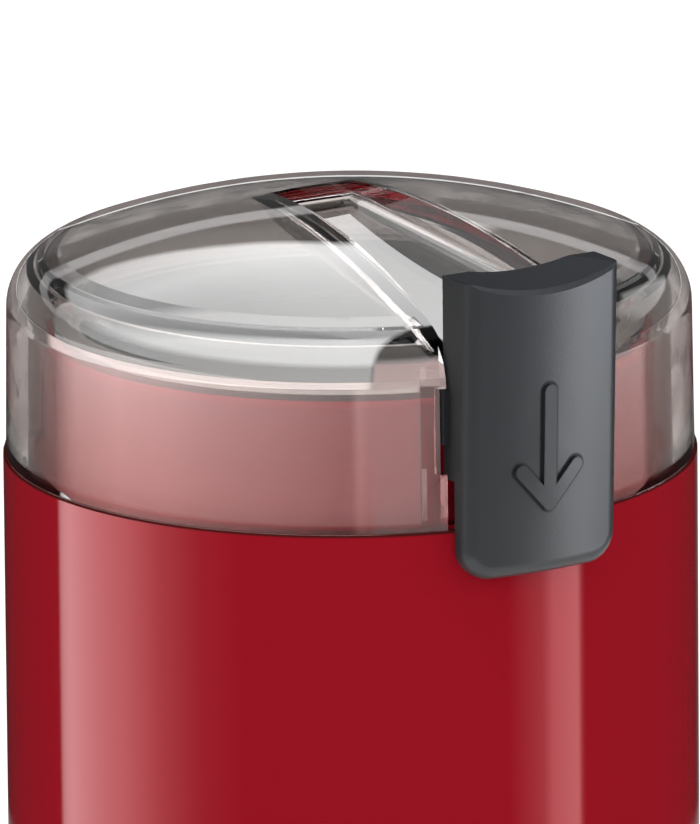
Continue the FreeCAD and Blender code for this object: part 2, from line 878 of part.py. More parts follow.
def blade_nut():
    low = blade_seat + given.blade_thickness + given.washer_thickness
    hexagon = document.addObject("Part::Prism", "hexagon")
    hexagon.Polygon = 6
    bind(hexagon, Circumradius=given.nut_flats / 2 / cosine(30), Height=given.nut_height)
    place(hexagon, 0, 0, low, plain)
    ball = document.addObject("Part::Sphere", "ball")
    bind(ball, Radius=given.nut_flats / 2 - 0.2)
    place(ball, 0, 0, low + given.nut_dome - given.nut_flats / 2 + 0.2, plain)
    above = rod(given.nut_flats, given.nut_dome, z=low + given.nut_height - 0.1)
    stud = rod(given.stud_radius, stud_top() - low + given.hole_gap, z=low)
    return cut(fuse(hexagon, common(ball, above)), stud)


def stud_top():
    return blade_seat + given.stud_length


node("blade_nut", blade_nut())


# Rotor: shaft, slotted core, windings and commutator

def motor_shaft():
    tail = frame_low - given.shaft_tail
    return turned([
        (0, tail),
        (given.shaft_radius - 0.5, tail),
        (given.shaft_radius, tail + 0.5),
        (given.shaft_radius, blade_seat),
        (given.stud_radius, blade_seat),
        (given.stud_radius, stud_top() - 0.4),
        (given.stud_radius - 0.4, stud_top()),
        (0, stud_top()),
    ])


node("motor_shaft", motor_shaft())


def rotor_core():
    body = turned([
        (given.shaft_radius, stack_low),
        (given.rotor_radius, stack_low),
        (given.rotor_radius, stack_top),
        (given.shaft_radius, stack_top),
    ])
    mouth = given.slot_mouth / 2
    half = given.slot_radius
    points = [
        (given.slot_circle - half, -half / 2),
        (given.slot_circle + half / 2, -half),
        (given.slot_circle + half, -mouth),
        (given.rotor_radius + 1, -mouth),
        (given.rotor_radius + 1, mouth),
        (given.slot_circle + half, mouth),
        (given.slot_circle + half / 2, half),
        (given.slot_circle - half, half / 2),
    ]
    return slotted(body, [points], stack_low, given.stack_height, given.rotor_slots)


node("rotor_core", rotor_core())


def rotor_windings():
    """Both end turns and the bundles that run through the slots, as one wound mass."""
    over = given.winding_overhang
    soft = given.winding_chamfer
    inner = given.shaft_radius + 1

    def end_turns(low):
        return turned([
            (inner, low),
            (given.winding_radius - soft, low),
            (given.winding_radius, low + soft),
            (given.winding_radius, low + over - soft),
            (given.winding_radius - soft, low + over),
            (inner, low + over),
        ])

    bundle = given.slot_radius - given.hole_gap * 3
    bundles = []
    count = int(given.rotor_slots.value)
    for number in range(count):
        bar = rod(bundle * 0.8, given.stack_height + 2, given.slot_circle, 0, stack_low - 1)
        bundles.append(turned_copy(bar, 360.0 / count * number))
    return fuse(end_turns(stack_low - over), end_turns(stack_top), *bundles)


node("rotor_windings", rotor_windings())


def commutator():
    low = frame_top + given.commutator_rise
    top = low + given.commutator_height
    collar_low = top - given.commutator_collar_height
    body = turned([
        (given.shaft_radius, low),
        (given.commutator_radius, low),
        (given.commutator_radius, collar_low),
        (given.commutator_collar, collar_low),
        (given.commutator_collar, top),
        (given.shaft_radius, top),
    ])
    deep = given.commutator_radius - given.commutator_slot_depth
    half = given.commutator_slot / 2
    points = box_points(deep, given.commutator_collar + 1, -half, half)
    return slotted(body, [points], low, given.commutator_height, given.rotor_slots)


node("commutator", commutator())


# Bushes, thrust washer and retaining ring

def bearing_bush(low):
    ball = document.addObject("Part::Sphere", "ball")
    bind(ball, Radius=given.bush_ball)
    place(ball, 0, 0, low + given.bush_height / 2, plain)
    slab = rod(given.bush_ball + 1, given.bush_height, z=low)
    bore = rod(given.shaft_radius + given.fit_gap, given.bush_height * 2,
               z=low - given.bush_height / 2)
    return cut(common(ball, slab), bore)


upper_bush_low = bridge_low + given.bush_lip_height
lower_bush_top = frame_top - given.hole_gap
lower_bush_low = lower_bush_top - given.bush_height
upper_boss_top = upper_bush_low + given.bush_height + given.hole_gap
node("upper_bush", bearing_bush(upper_bush_low))
node("lower_bush", bearing_bush(lower_bush_low))
node("upper_bush_clip", tube(given.bearing_boss, given.clip_inner, given.clip_thickness,
                             upper_boss_top))
node("lower_bush_clip", tube(given.bearing_boss, given.clip_inner, given.clip_thickness,
                             frame_top))
node("thrust_washer", tube(given.thrust_radius, given.shaft_radius + given.fit_gap,
                           given.thrust_thickness, frame_top))
node("shaft_ring", tube(given.thrust_radius, given.shaft_radius, given.shaft_ring_thickness,
                        frame_top + given.thrust_thickness + given.slide_gap))


# Stator: laminated core with two poles, and a field coil on each pole

def stator_core():
    height = given.stack_height
    outer = centred_block(given.stack_length, given.stack_depth, height, 0, 0, stack_low)
    outer = rounded(outer, given.stack_corner, is_vertical)
    window_depth = given.stack_depth - given.yoke_end * 2
    window = centred_block(given.stack_length - given.yoke_side * 2, window_depth, height, 0, 0,
                           stack_low)
    bore_radius = given.rotor_radius + given.air_gap
    poles = centred_block(given.pole_width, window_depth, height, 0, 0, stack_low)
    ring = rod(bore_radius + given.shoe_thickness, height, z=stack_low)
    shoes = common(ring, centred_block(given.shoe_width, window_depth, height, 0, 0, stack_low))
    gap = centred_block(given.stack_length, bore_radius * 0.8, height, 0, 0, stack_low)
    filled = cut(fuse(poles, shoes), gap, rod(bore_radius, height, z=stack_low))
    holes = [rod(given.bolt_radius + given.hole_gap, height, leg_place * side, 0, stack_low)
             for side in (-1, 1)]
    return fuse(cut(outer, window, *holes), filled)


node("stator_core", stator_core())


def field_coil(side):
    outer_length = given.stack_length - (given.yoke_side + given.coil_side_gap) * 2
    low = stack_low - given.coil_overhang
    height = given.stack_height + given.coil_overhang * 2
    start = given.rotor_radius + given.air_gap + given.shoe_thickness + given.slide_gap
    middle = (start + given.coil_thickness / 2) * side
    outer = centred_block(outer_length, given.coil_thickness, height, 0, middle, low)

    def is_across(edge):
        return isinstance(edge.Curve, Part.Line) and abs(abs(edge.Curve.Direction.y) - 1) < 1e-6

    outer = rounded(outer, given.coil_corner, is_across)
    inner = centred_block(given.pole_width + given.slide_gap * 2, given.coil_thickness * 2,
                          given.stack_height + given.slide_gap * 2, 0, middle,
                          stack_low - given.slide_gap)
    return cut(outer, inner)


node("field_coil_front", field_coil(-1))
node("field_coil_rear", field_coil(1))


# Brackets that hold the bushes and clamp the stator

def motor_bridge():
    plate = centred_block(bridge_length, given.bridge_width, given.bridge_thickness, 0, 0,
                          bridge_low)
    plate = rounded(plate, given.leg_width / 2, is_vertical)
    legs = [centred_block(given.leg_width, given.bridge_width - 2, given.bridge_leg,
                          leg_place * side, 0, stack_top) for side in (-1, 1)]
    boss = rod(given.bearing_boss, upper_boss_top - bridge_low, z=bridge_low)
    seat = rod(given.bush_ball + given.fit_gap, upper_boss_top - upper_bush_low,
               z=upper_bush_low)
    hole = rod(given.bush_lip, given.bridge_thickness, z=bridge_low)
    holes = []
    for side in (-1, 1):
        holes.append(rod(given.bolt_radius + given.hole_gap, bridge_top - stack_top,
                         leg_place * side, 0, stack_top))
        holes.append(rod(given.damper_neck + given.hole_gap, given.bridge_thickness,
                         given.damper_place * side, 0, bridge_low))
    return cut(fuse(plate, boss, *legs), seat, hole, *holes)


node("motor_bridge", motor_bridge())


def motor_end_frame():
    body = turned([
        (given.bush_lip, frame_low),
        (frame_radius, frame_low),
        (frame_radius, frame_top),
        (given.bush_lip, frame_top),
    ])
    boss_low = lower_bush_low - given.bush_lip_height
    boss = rod(given.bearing_boss + 1, frame_top - boss_low, z=boss_low)
    seat = rod(given.bush_ball + given.fit_gap, given.bush_height * 2, z=lower_bush_low)
    hole = rod(given.bush_lip, given.bush_height, z=boss_low)
    legs = [centred_block(given.leg_width, given.bridge_width - 2, given.frame_leg,
                          leg_place * side, 0, frame_top) for side in (-1, 1)]
    saddle_length = given.holder_end - given.holder_start - 2
    saddle_middle = (given.holder_end + given.holder_start) / 2
    saddles = [centred_block(given.saddle_width, saddle_length, given.saddle_height, 0,
                             saddle_middle * side, frame_top) for side in (-1, 1)]
    windows = []
    window_ring = tube(given.frame_window_outer, given.frame_window_inner,
                       given.frame_thickness, frame_low)
    for x_side in (-1, 1):
        for y_side in (-1, 1):
            corner = block(frame_radius, frame_radius, given.frame_thickness,
                           given.saddle_width * 0.7 if x_side > 0
                           else -given.saddle_width * 0.7 - frame_radius,
                           given.bridge_width / 2 if y_side > 0
                           else -given.bridge_width / 2 - frame_radius, frame_low)
            windows.append(corner)
    windows = common(window_ring, group(*windows))
    holes = [rod(given.bolt_radius + given.hole_gap, given.frame_leg + given.frame_thickness,
                 leg_place * side, 0, frame_low) for side in (-1, 1)]
    return cut(fuse(body, boss, *legs, *saddles), seat, hole, windows, *holes)


node("motor_end_frame", motor_end_frame())


def motor_bolts():
    length = bridge_top - frame_low
    bolts = []
    for side in (-1, 1):
        x = leg_place * side
        shank = rod(given.bolt_radius, length, x, 0, frame_low)
        head = rod(given.bolt_head, given.bolt_head_height, x, 0, bridge_top)
        slot = centred_block(given.bolt_head * 2, 0.8, 1, x, 0,
                             bridge_top + given.bolt_head_height - 1)
        tail = document.addObject("Part::Prism", "nut")
        tail.Polygon = 6
        bind(tail, Circumradius=given.bolt_head, Height=given.bolt_head_height)
        place(tail, x, 0, frame_low - given.bolt_head_height, plain)
        bolts.append(fuse(shank, cut(head, slot), tail))
    return group(*bolts)


node("motor_bolts", motor_bolts())


def rubber_dampers():
    neck = given.damper_neck
    cap = given.damper_cap
    dampers = []
    for side in (-1, 1):
        body = turned([
            (0, bridge_low - given.damper_cap_height),
            (cap, bridge_low - given.damper_cap_height),
            (cap, bridge_low),
            (neck, bridge_low),
            (neck, bridge_top),
            (given.damper_radius, bridge_top),
            (given.damper_radius, carrier_low),
            (neck, carrier_low),
            (neck, carrier_top),
            (cap, carrier_top),
            (cap - 0.8, carrier_top + given.damper_cap_height),
            (0, carrier_top + given.damper_cap_height),
        ])
        place(body, given.damper_place * side, 0, 0, plain)
        dampers.append(body)
    return group(*dampers)


node("rubber_dampers", rubber_dampers())


# Carrier: plate that holds the motor and the bowl, screwed under the housing's bosses

def motor_carrier():
    plate = turned([
        (given.carrier_hole, carrier_low),
        (inner_radius - given.carrier_gap, carrier_low),
        (inner_radius - given.carrier_gap, carrier_top),
        (given.pedestal_inner + given.pedestal_wall, carrier_top),
        (given.pedestal_inner + given.pedestal_wall, bowl_low),
        (given.pedestal_inner, bowl_low),
        (given.pedestal_inner, carrier_top),
        (given.carrier_hole, carrier_top),
    ])
    holes = []
    for angle in carrier_turns:
        holes.append(rod(screw_hole, given.carrier_thickness,
                         boss_circle * cosine(angle), boss_circle * sine(angle),
                         carrier_low))
    for side in (-1, 1):
        holes.append(rod(given.damper_neck + given.hole_gap, given.carrier_thickness,
                         given.damper_place * side, 0, carrier_low))
        holes.append(rod(given.switch_screw_radius + given.hole_gap, given.carrier_thickness,
                         given.switch_screw_place * side, -switch_place, carrier_low))
    ribs = []
    for angle in (0, 60, 120, 180, 240, 300):
        rib = block(boss_circle - given.pedestal_inner - given.pedestal_wall - 4, 1.6,
                    given.carrier_skirt, given.pedestal_inner + given.pedestal_wall - 0.5, -0.8,
                    carrier_top)
        ribs.append(turned_copy(rib, angle))
    return cut(fuse(plate, *ribs), *holes)


node("motor_carrier", motor_carrier())


def pan_screws(angles, seat_height, length):
    """Screws driven upwards, with their heads under the seat height."""
    screws = []
    for angle in angles:
        x = boss_circle * cosine(angle)
        y = boss_circle * sine(angle)
        shank = rod(given.screw_radius, length, x, y, seat_height)
        head = rod(given.screw_head, given.screw_head_height, x, y,
                   seat_height - given.screw_head_height)
        slot = centred_block(given.screw_head * 2, 0.8, 0.9, x, y,
                             seat_height - given.screw_head_height)
        screws.append(fuse(shank, cut(head, slot)))
    return group(*screws)


node("carrier_screws", pan_screws(carrier_turns, carrier_low, given.screw_length))


# Brush gear: two holders on the end frame, carbon brushes and their springs

holder_low = frame_top + given.saddle_height
brush_width = given.holder_width - given.holder_wall * 2 - given.hole_gap * 2
brush_height = given.holder_height - given.holder_wall * 2 - given.hole_gap * 2
brush_start = given.commutator_radius + given.slide_gap


def brush_holder(side):
    length = given.holder_end - given.holder_start
    y = (given.holder_start + length / 2) * side
    outer = centred_block(given.holder_width, length, given.holder_height, 0, y, holder_low)
    inner_y = (given.holder_start + length / 2 - given.holder_wall) * side
    inner = centred_block(given.holder_width - given.holder_wall * 2, length,
                          given.holder_height - given.holder_wall * 2, 0, inner_y,
                          holder_low + given.holder_wall)
    return cut(outer, inner)


node("brush_holder_front", brush_holder(-1))
node("brush_holder_rear", brush_holder(1))


def carbon_brush(side):
    y = (given.commutator_radius - 1 + given.brush_length / 2) * side
    body = centred_block(brush_width, given.brush_length, brush_height, 0, y,
                         holder_low + given.holder_wall + given.hole_gap)
    return cut(body, rod(brush_start, given.holder_height * 2, z=holder_low
                         - given.holder_height / 2))


node("carbon_brush_front", carbon_brush(-1))
node("carbon_brush_rear", carbon_brush(1))


def brush_springs():
    item = document.addObject("Part::Feature", "brush_springs")
    start = given.commutator_radius.value - 1 + given.brush_length.value
    end = (given.holder_end - given.holder_wall).value
    height = (holder_low + given.holder_height / 2).value
    coils = []
    for side in (-1, 1):
        lying = FreeCAD.Rotation(FreeCAD.Vector(1, 0, 0), -90 * side)
        coil = coil_spring(brush_width.value / 2 - given.hole_gap.value,
                           given.brush_wire.value / 2, 0, end - start, 4)
        coil.Placement = FreeCAD.Placement(
            FreeCAD.Vector(0, start * side, height), lying) * coil.Placement
        coils.append(coil)
    item.Shape = Part.makeCompound(coils)
    return item


node("brush_springs", brush_springs())


# Interlock switch: body, plunger, slider in the housing's groove, spring and screws

def switch_body():
    body = centred_block(given.switch_length, given.switch_width, given.switch_height, 0,
                         -switch_place, carrier_top)
    body = rounded(body, as_size(0.8), is_vertical)
    well = rod(given.plunger_radius + given.fit_gap, given.switch_height, 0, -switch_place,
               carrier_top + plunger_bottom())
    holes = [rod(given.switch_screw_radius, given.switch_screw_length
                 - given.carrier_thickness + given.hole_gap, given.switch_screw_place * side,
                 -switch_place, carrier_top) for side in (-1, 1)]
    return cut(body, well, *holes)


def plunger_bottom():
    """Foot of the plunger above the carrier, with room for its travel below."""
    return given.slider_travel + 1


plunger_top = carrier_top + given.switch_height + given.plunger_rise
slider_low = plunger_top + given.slide_gap
slider_high = seam - given.prong_drop - given.slider_gap
node("switch_body", switch_body())
node("switch_plunger", rod(given.plunger_radius, plunger_top - carrier_top - plunger_bottom()
                           - given.slider_travel, 0, -switch_place,
                           carrier_top + plunger_bottom() + given.slider_travel))


def switch_slider():
    width = given.prong_width
    stem = block(width, given.prong_thickness, slider_high - slider_low, -width / 2,
                 -slider_back - given.prong_thickness, slider_low)
    foot_depth = given.slider_foot_depth
    foot_back = switch_place - foot_depth / 2
    neck = block(width, slider_back - foot_back + given.prong_thickness,
                 given.slider_foot_height, -width / 2, -slider_back - given.prong_thickness,
                 slider_low)
    arm = block(given.slider_arm + width / 2, foot_depth, given.slider_foot_height, -width / 2,
                -foot_back - foot_depth, slider_low)
    return fuse(stem, neck, arm)


node("switch_slider", switch_slider())


def slider_spring():
    item = document.addObject("Part::Feature", "slider_spring")
    item.Shape = coil_spring(given.slider_spring_radius.value,
                             given.slider_spring_wire.value / 2, carrier_top.value,
                             (slider_low - carrier_top).value, 6,
                             given.slider_spring_place.value, -switch_place.value)
    return item


node("slider_spring", slider_spring())


def switch_screws():
    screws = []
    for side in (-1, 1):
        x = given.switch_screw_place * side
        y = -switch_place
        shank = rod(given.switch_screw_radius, given.switch_screw_length, x, y, carrier_low)
        head = rod(given.switch_screw_radius * 1.9, given.screw_head_height, x, y,
                   carrier_low - given.screw_head_height)
        screws.append(fuse(shank, head))
    return group(*screws)


node("switch_screws", switch_screws())


# Base plate with vents, its screws, the rubber feet and the cord's gland

def foot_spots():
    spread = foot_circle * cosine(45)
    return [(spread * x, spread * y) for x in (-1, 1) for y in (-1, 1)]


def base_plate():
    body = turned([
        (zero, base_low),
        (inner_radius - given.base_gap, base_low),
        (inner_radius - given.base_gap, base_top),
        (given.base_ring, base_top),
        (given.base_ring, base_top + given.base_ring_height),
        (given.base_ring - given.base_ring_wall, base_top + given.base_ring_height),
        (given.base_ring - given.base_ring_wall, base_top),
        (zero, base_top),
    ])
    half = given.vent_width / 2
    slotted(body, [box_points(given.vent_inner, given.vent_outer, -half, half)], base_low,
            given.base_thickness, given.vent_count)
    holes = [rod(screw_hole, given.base_thickness, boss_circle * cosine(angle),
                 boss_circle * sine(angle), base_low) for angle in base_turns]
    holes += [rod(given.foot_stem + given.hole_gap, given.base_thickness, x, y, base_low)
              for x, y in foot_spots()]
    return cut(body, *holes)


node("base_plate", base_plate())
node("base_screws", pan_screws(base_turns, base_low, given.screw_length))


def rubber_feet():
    feet = []
    for x, y in foot_spots():
        body = turned([
            (0, zero),
            (given.foot_radius - 0.8, zero),
            (given.foot_radius, zero + 0.8),
            (given.foot_radius, base_low),
            (given.foot_stem, base_low),
            (given.foot_stem, base_top),
            (given.foot_cap, base_top),
            (given.foot_cap - 0.8, base_top + given.foot_cap_height),
            (0, base_top + given.foot_cap_height),
        ])
        place(body, x, y, 0, plain)
        feet.append(body)
    return group(*feet)


node("rubber_feet", rubber_feet())


def cord_gland():
    outside = given.housing_radius + given.hole_gap
    inside = root(inner_radius * inner_radius
                  - given.gland_inner_flange * given.gland_inner_flange) - given.hole_gap
    neck = rod(given.gland_hole - given.hole_gap, outside - inside, 0, inside,
               given.gland_height, along_y)
    flange = rod(given.gland_flange, given.gland_flange_thickness, 0, outside,
                 given.gland_height, along_y)
    back = rod(given.gland_inner_flange, given.gland_flange_thickness, 0,
               inside - given.gland_flange_thickness, given.gland_height, along_y)
    bore = rod(given.gland_bore, given.housing_radius, 0, given.housing_radius / 2,
               given.gland_height, along_y)
    return cut(fuse(neck, flange, back), bore)


node("cord_gland", cord_gland())


# Interference capacitor on the base and thermal fuse on the rear field coil

def suppression_capacitor():
    body = centred_block(given.capacitor_length, given.capacitor_width, given.capacitor_height,
                         0, given.housing_radius - given.capacitor_inset, base_top)
    return rounded(body, as_size(1), is_vertical)


node("suppression_capacitor", suppression_capacitor())


def thermal_fuse():
    start = given.rotor_radius + given.air_gap + given.shoe_thickness + given.slide_gap
    across = FreeCAD.Rotation(FreeCAD.Vector(0, 1, 0), 90)
    return rod(given.fuse_radius, given.fuse_length, -given.fuse_length / 2,
               start + given.coil_thickness / 2,
               stack_top + given.coil_overhang + given.fuse_radius, across)


node("thermal_fuse", thermal_fuse())


# Checks, then one file for each sub-part

document.recompute()
for item in document.Objects:
    for state in item.State:
        if state in ("Invalid", "Error"):
            raise RuntimeError(f"{item.Label} is {state}")
for label, item in nodes.items():
    if item.Shape.isNull() or not item.Shape.isValid():
        raise RuntimeError(f"{label} has no valid shape")

os.makedirs("parts", exist_ok=True)
for label, item in nodes.items():
    item.Shape.exportStep(f"parts/{label}.step")
    box = item.Shape.optimalBoundingBox()
    print(f"{label}: {len(item.Shape.Solids)} solids, {item.Shape.Volume:.0f} mm3,"
          f" x {box.XMin:.1f} to {box.XMax:.1f}, y {box.YMin:.1f} to {box.YMax:.1f},"
          f" z {box.ZMin:.1f} to {box.ZMax:.1f}")
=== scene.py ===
import math

import bmesh
import bpy
from mathutils import Matrix, Vector


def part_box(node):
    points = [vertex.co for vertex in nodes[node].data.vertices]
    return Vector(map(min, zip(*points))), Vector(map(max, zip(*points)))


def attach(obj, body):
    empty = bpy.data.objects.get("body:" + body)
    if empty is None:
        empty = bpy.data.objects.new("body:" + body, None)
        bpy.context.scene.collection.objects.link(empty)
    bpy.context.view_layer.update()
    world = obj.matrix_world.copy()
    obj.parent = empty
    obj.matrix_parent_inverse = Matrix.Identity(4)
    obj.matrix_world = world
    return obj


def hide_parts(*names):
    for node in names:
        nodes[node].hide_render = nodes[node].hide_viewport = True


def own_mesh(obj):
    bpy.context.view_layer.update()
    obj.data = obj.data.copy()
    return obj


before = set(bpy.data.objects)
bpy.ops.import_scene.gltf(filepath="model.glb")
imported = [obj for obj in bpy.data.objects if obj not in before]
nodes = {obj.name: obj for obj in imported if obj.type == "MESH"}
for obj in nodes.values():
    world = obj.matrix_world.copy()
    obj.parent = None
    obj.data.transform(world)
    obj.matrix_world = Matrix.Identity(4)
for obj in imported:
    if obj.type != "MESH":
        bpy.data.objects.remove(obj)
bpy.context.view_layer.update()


# Base plate, feet, cord gland and the screws that close the grinder from below.
# The plate is a fine-textured dark moulding. The feet are pushed-in rubber buttons and the gland is a
# rubber bush in the rear wall. Three zinc-plated screws go up into the housing's bosses.
def place(tree, kind, inputs=None, **settings):
    """Adds a shader node. inputs gives each socket a value, or the socket that feeds it."""
    node = tree.nodes.new(kind)
    for key, value in settings.items():
        setattr(node, key, value)
    for key, value in (inputs or {}).items():
        if isinstance(value, bpy.types.NodeSocket):
            tree.links.new(value, node.inputs[key])
        else:
            node.inputs[key].default_value = value
    return node


def worked(tree, operation, *values):
    """One sum on shader values, such as ADD or SINE: the socket with its result."""
    return place(tree, "ShaderNodeMath", dict(enumerate(values)), operation=operation).outputs[0]


def ranged(tree, value, low, high, to_low, to_high):
    """A value moved from one range into another, and held inside it."""
    inputs = {"Value": value, "From Min": low, "From Max": high, "To Min": to_low, "To Max": to_high}
    return place(tree, "ShaderNodeMapRange", inputs).outputs["Result"]


def new_group(name, inputs, outputs):
    """A shader node group whose sockets are named rows of (name, kind, value)."""
    tree = bpy.data.node_groups.new(name, "ShaderNodeTree")
    for label, kind, value in inputs:
        socket = tree.interface.new_socket(label, in_out="INPUT", socket_type=kind)
        if value is not None:
            socket.default_value = value
    for label, kind in outputs:
        tree.interface.new_socket(label, in_out="OUTPUT", socket_type=kind)
    return tree, tree.nodes.new("NodeGroupInput").outputs, tree.nodes.new("NodeGroupOutput").inputs


number, colour_kind, vector_kind = "NodeSocketFloat", "NodeSocketColor", "NodeSocketVector"
skin_outputs = [("Colour", colour_kind), ("Roughness", number), ("Normal", vector_kind)]


def moulded_surface():
    """Moulded plastic or rubber: spark texture, flow marks, and the haze that hands leave."""
    tree, given, out = new_group(
        "moulded_surface",
        [("Place", vector_kind, None), ("Colour", colour_kind, (0.5, 0.5, 0.5, 1)),
         ("Roughness", number, 0.4), ("Haze", number, 0.05), ("Tone", number, 0.06),
         ("Grain Scale", number, 3000.0), ("Grain Height", number, 0.00001),
         ("Flow Height", number, 0.0)],
        skin_outputs,
    )
    cloud = place(tree, "ShaderNodeTexNoise", {"Vector": given["Place"], "Scale": 45.0, "Detail": 4.0})
    smear = place(tree, "ShaderNodeTexNoise", {"Vector": given["Place"], "Scale": 160.0, "Detail": 6.0,
                                               "Distortion": 0.8})
    grain = place(tree, "ShaderNodeTexNoise", {"Vector": given["Place"], "Scale": given["Grain Scale"],
                                               "Detail": 2.0})
    spread = worked(tree, "SUBTRACT", smear.outputs["Fac"], 0.5)
    haze = worked(tree, "MULTIPLY_ADD", spread, given["Haze"], given["Roughness"])
    tone = worked(tree, "SUBTRACT", cloud.outputs["Fac"], 0.5)
    level = worked(tree, "MULTIPLY_ADD", tone, given["Tone"], 1.0)
    tinted = place(tree, "ShaderNodeHueSaturation", {"Value": level, "Color": given["Colour"]})
    flow = place(tree, "ShaderNodeBump", {"Strength": 1.0, "Distance": given["Flow Height"],
                                          "Height": cloud.outputs["Fac"]})
    bump = place(tree, "ShaderNodeBump", {"Strength": 1.0, "Distance": given["Grain Height"],
                                          "Height": grain.outputs["Fac"], "Normal": flow.outputs[0]})
    tree.links.new(tinted.outputs["Color"], out["Colour"])
    tree.links.new(haze, out["Roughness"])
    tree.links.new(bump.outputs["Normal"], out["Normal"])
    return tree


moulded = moulded_surface()


def linear(red, green, blue):
    """A colour written as it is seen on a screen, 0 to 255, for a shader."""
    steps = [part / 255 for part in (red, green, blue)]
    return [p / 12.92 if p <= 0.04045 else ((p + 0.055) / 1.055) ** 2.4 for p in steps] + [1.0]


def shader_of(name):
    """A new material and its tree, its main shader and its object coordinates."""
    material = bpy.data.materials.new(name)
    material.use_nodes = True
    tree = material.node_tree
    spot = tree.nodes.new("ShaderNodeTexCoord").outputs["Object"]
    return material, tree, tree.nodes["Principled BSDF"], spot


def dress(tree, shader, skin, values):
    """Gives a skin its values, and puts its colour, roughness and normal on the shader."""
    for key, value in values.items():
        skin.inputs[key].default_value = value
    for output, key in (("Colour", "Base Color"), ("Roughness", "Roughness"), ("Normal", "Normal")):
        tree.links.new(skin.outputs[output], shader.inputs[key])


def plastic(name, colour, roughness, haze=0.06, tone=0.08, grain=3000.0, height=0.00001, flow=0.0,
            settings=None):
    """A moulded plastic or rubber with its own grain."""
    material, tree, shader, spot = shader_of(name)
    skin = place(tree, "ShaderNodeGroup", {"Place": spot}, node_tree=moulded)
    dress(tree, shader, skin, {"Colour": linear(*colour), "Roughness": roughness, "Haze": haze, "Tone": tone,
                               "Grain Scale": grain, "Grain Height": height, "Flow Height": flow})
    for key, value in (settings or {}).items():
        shader.inputs[key].default_value = value
    return material


def finish(material, *names):
    """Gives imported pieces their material."""
    for name in names:
        nodes[name].material_slots[0].material = material


def metal_surface():
    """Machined or brushed metal: fine lines round an axis or along it, and darker handling marks."""
    tree, given, out = new_group(
        "metal_surface",
        [("Place", vector_kind, None), ("Colour", colour_kind, (0.6, 0.6, 0.6, 1)),
         ("Roughness", number, 0.3), ("Lines", number, 0.1), ("Line Height", number, 0.000004),
         ("Stain", number, 0.15)],
        skin_outputs,
    )
    line = place(tree, "ShaderNodeTexNoise", {"Vector": given["Place"], "Scale": 1.0, "Detail": 3.0})
    cloud = place(tree, "ShaderNodeTexNoise", {"Vector": given["Place"], "Scale": 0.08, "Detail": 5.0})
    spread = worked(tree, "SUBTRACT", line.outputs["Fac"], 0.5)
    rough = worked(tree, "MULTIPLY_ADD", spread, given["Lines"], given["Roughness"])
    stain = ranged(tree, cloud.outputs["Fac"], 0.45, 0.75, 0.0, 1.0)
    level = worked(tree, "SUBTRACT", 1.0, worked(tree, "MULTIPLY", stain, given["Stain"]))
    tinted = place(tree, "ShaderNodeHueSaturation", {"Value": level, "Color": given["Colour"]})
    bump = place(tree, "ShaderNodeBump", {"Strength": 1.0, "Distance": given["Line Height"],
                                          "Height": line.outputs["Fac"]})
    tree.links.new(tinted.outputs["Color"], out["Colour"])
    tree.links.new(rough, out["Roughness"])
    tree.links.new(bump.outputs["Normal"], out["Normal"])
    return tree


metal_lines = metal_surface()


def metal(name, colour, roughness, lines=0.12, height=0.000004, stain=0.15, stretch=(900, 900, 900)):
    """A metal whose lines are stretched along the axis with the smallest number."""
    material, tree, shader, spot = shader_of(name)
    mapping = place(tree, "ShaderNodeMapping", {"Vector": spot, "Scale": stretch})
    skin = place(tree, "ShaderNodeGroup", {"Place": mapping.outputs["Vector"]}, node_tree=metal_lines)
    dress(tree, shader, skin, {"Colour": linear(*colour), "Roughness": roughness, "Lines": lines,
                               "Line Height": height, "Stain": stain})
    shader.inputs["Metallic"].default_value = 1.0
    return material


base_moulding = plastic("base_moulding", (58, 60, 63), 0.48, grain=2600.0, height=0.00002)
foot_rubber = plastic("foot_rubber", (34, 34, 35), 0.72, tone=0.2, grain=1800.0, height=0.00002)
zinc = metal("zinc_plate", (196, 198, 200), 0.3, stretch=(1200, 1200, 300), stain=0.25)
finish(base_moulding, "base_plate")
finish(foot_rubber, "rubber_feet", "cord_gland")
finish(zinc, "base_screws")


# Motor end frame with the lower bearing and the brush gear.
# The frame is a glass-filled moulding. The self-aligning bush is sintered bronze under a spring clip, and
# folded brass holders carry the pressed carbon brushes with their coil springs.
frame_moulding = plastic("frame_moulding", (44, 45, 48), 0.55, grain=1500.0, height=0.00003, flow=0.00004)
bronze = metal("sintered_bronze", (158, 122, 78), 0.45, lines=0.2, height=0.00001, stain=0.35)
spring_wire = metal("spring_wire", (168, 170, 174), 0.22, stretch=(2500, 2500, 2500), stain=0.1)
brass = metal("brass_sheet", (206, 170, 98), 0.3, stretch=(300, 1600, 1600), stain=0.2)
carbon = plastic("pressed_carbon", (38, 38, 40), 0.6, tone=0.3, grain=2200.0, height=0.00002)
finish(frame_moulding, "motor_end_frame")
finish(bronze, "lower_bush", "upper_bush")
finish(spring_wire, "lower_bush_clip", "upper_bush_clip", "brush_springs")
finish(brass, "brush_holder_front", "brush_holder_rear")
finish(carbon, "carbon_brush_front", "carbon_brush_rear")


# Rotor: ground shaft, stacked laminations, enamelled windings and the commutator.
# The laminations are pressed on a knurl, the windings fill the slots between them, and the copper bars of
# the commutator are turned true after they are moulded on.
def parts_of(tree):
    """The x, y and z of a place on the piece."""
    spot = tree.nodes["Texture Coordinate"].outputs["Object"]
    return place(tree, "ShaderNodeSeparateXYZ", {0: spot}).outputs


def mixed(tree, share, first, second):
    """Two colours, from the first at a share of 0 to the second at 1."""
    inputs = {"Factor": share, "A": first, "B": second}
    return place(tree, "ShaderNodeMix", inputs, data_type="RGBA").outputs["Result"]


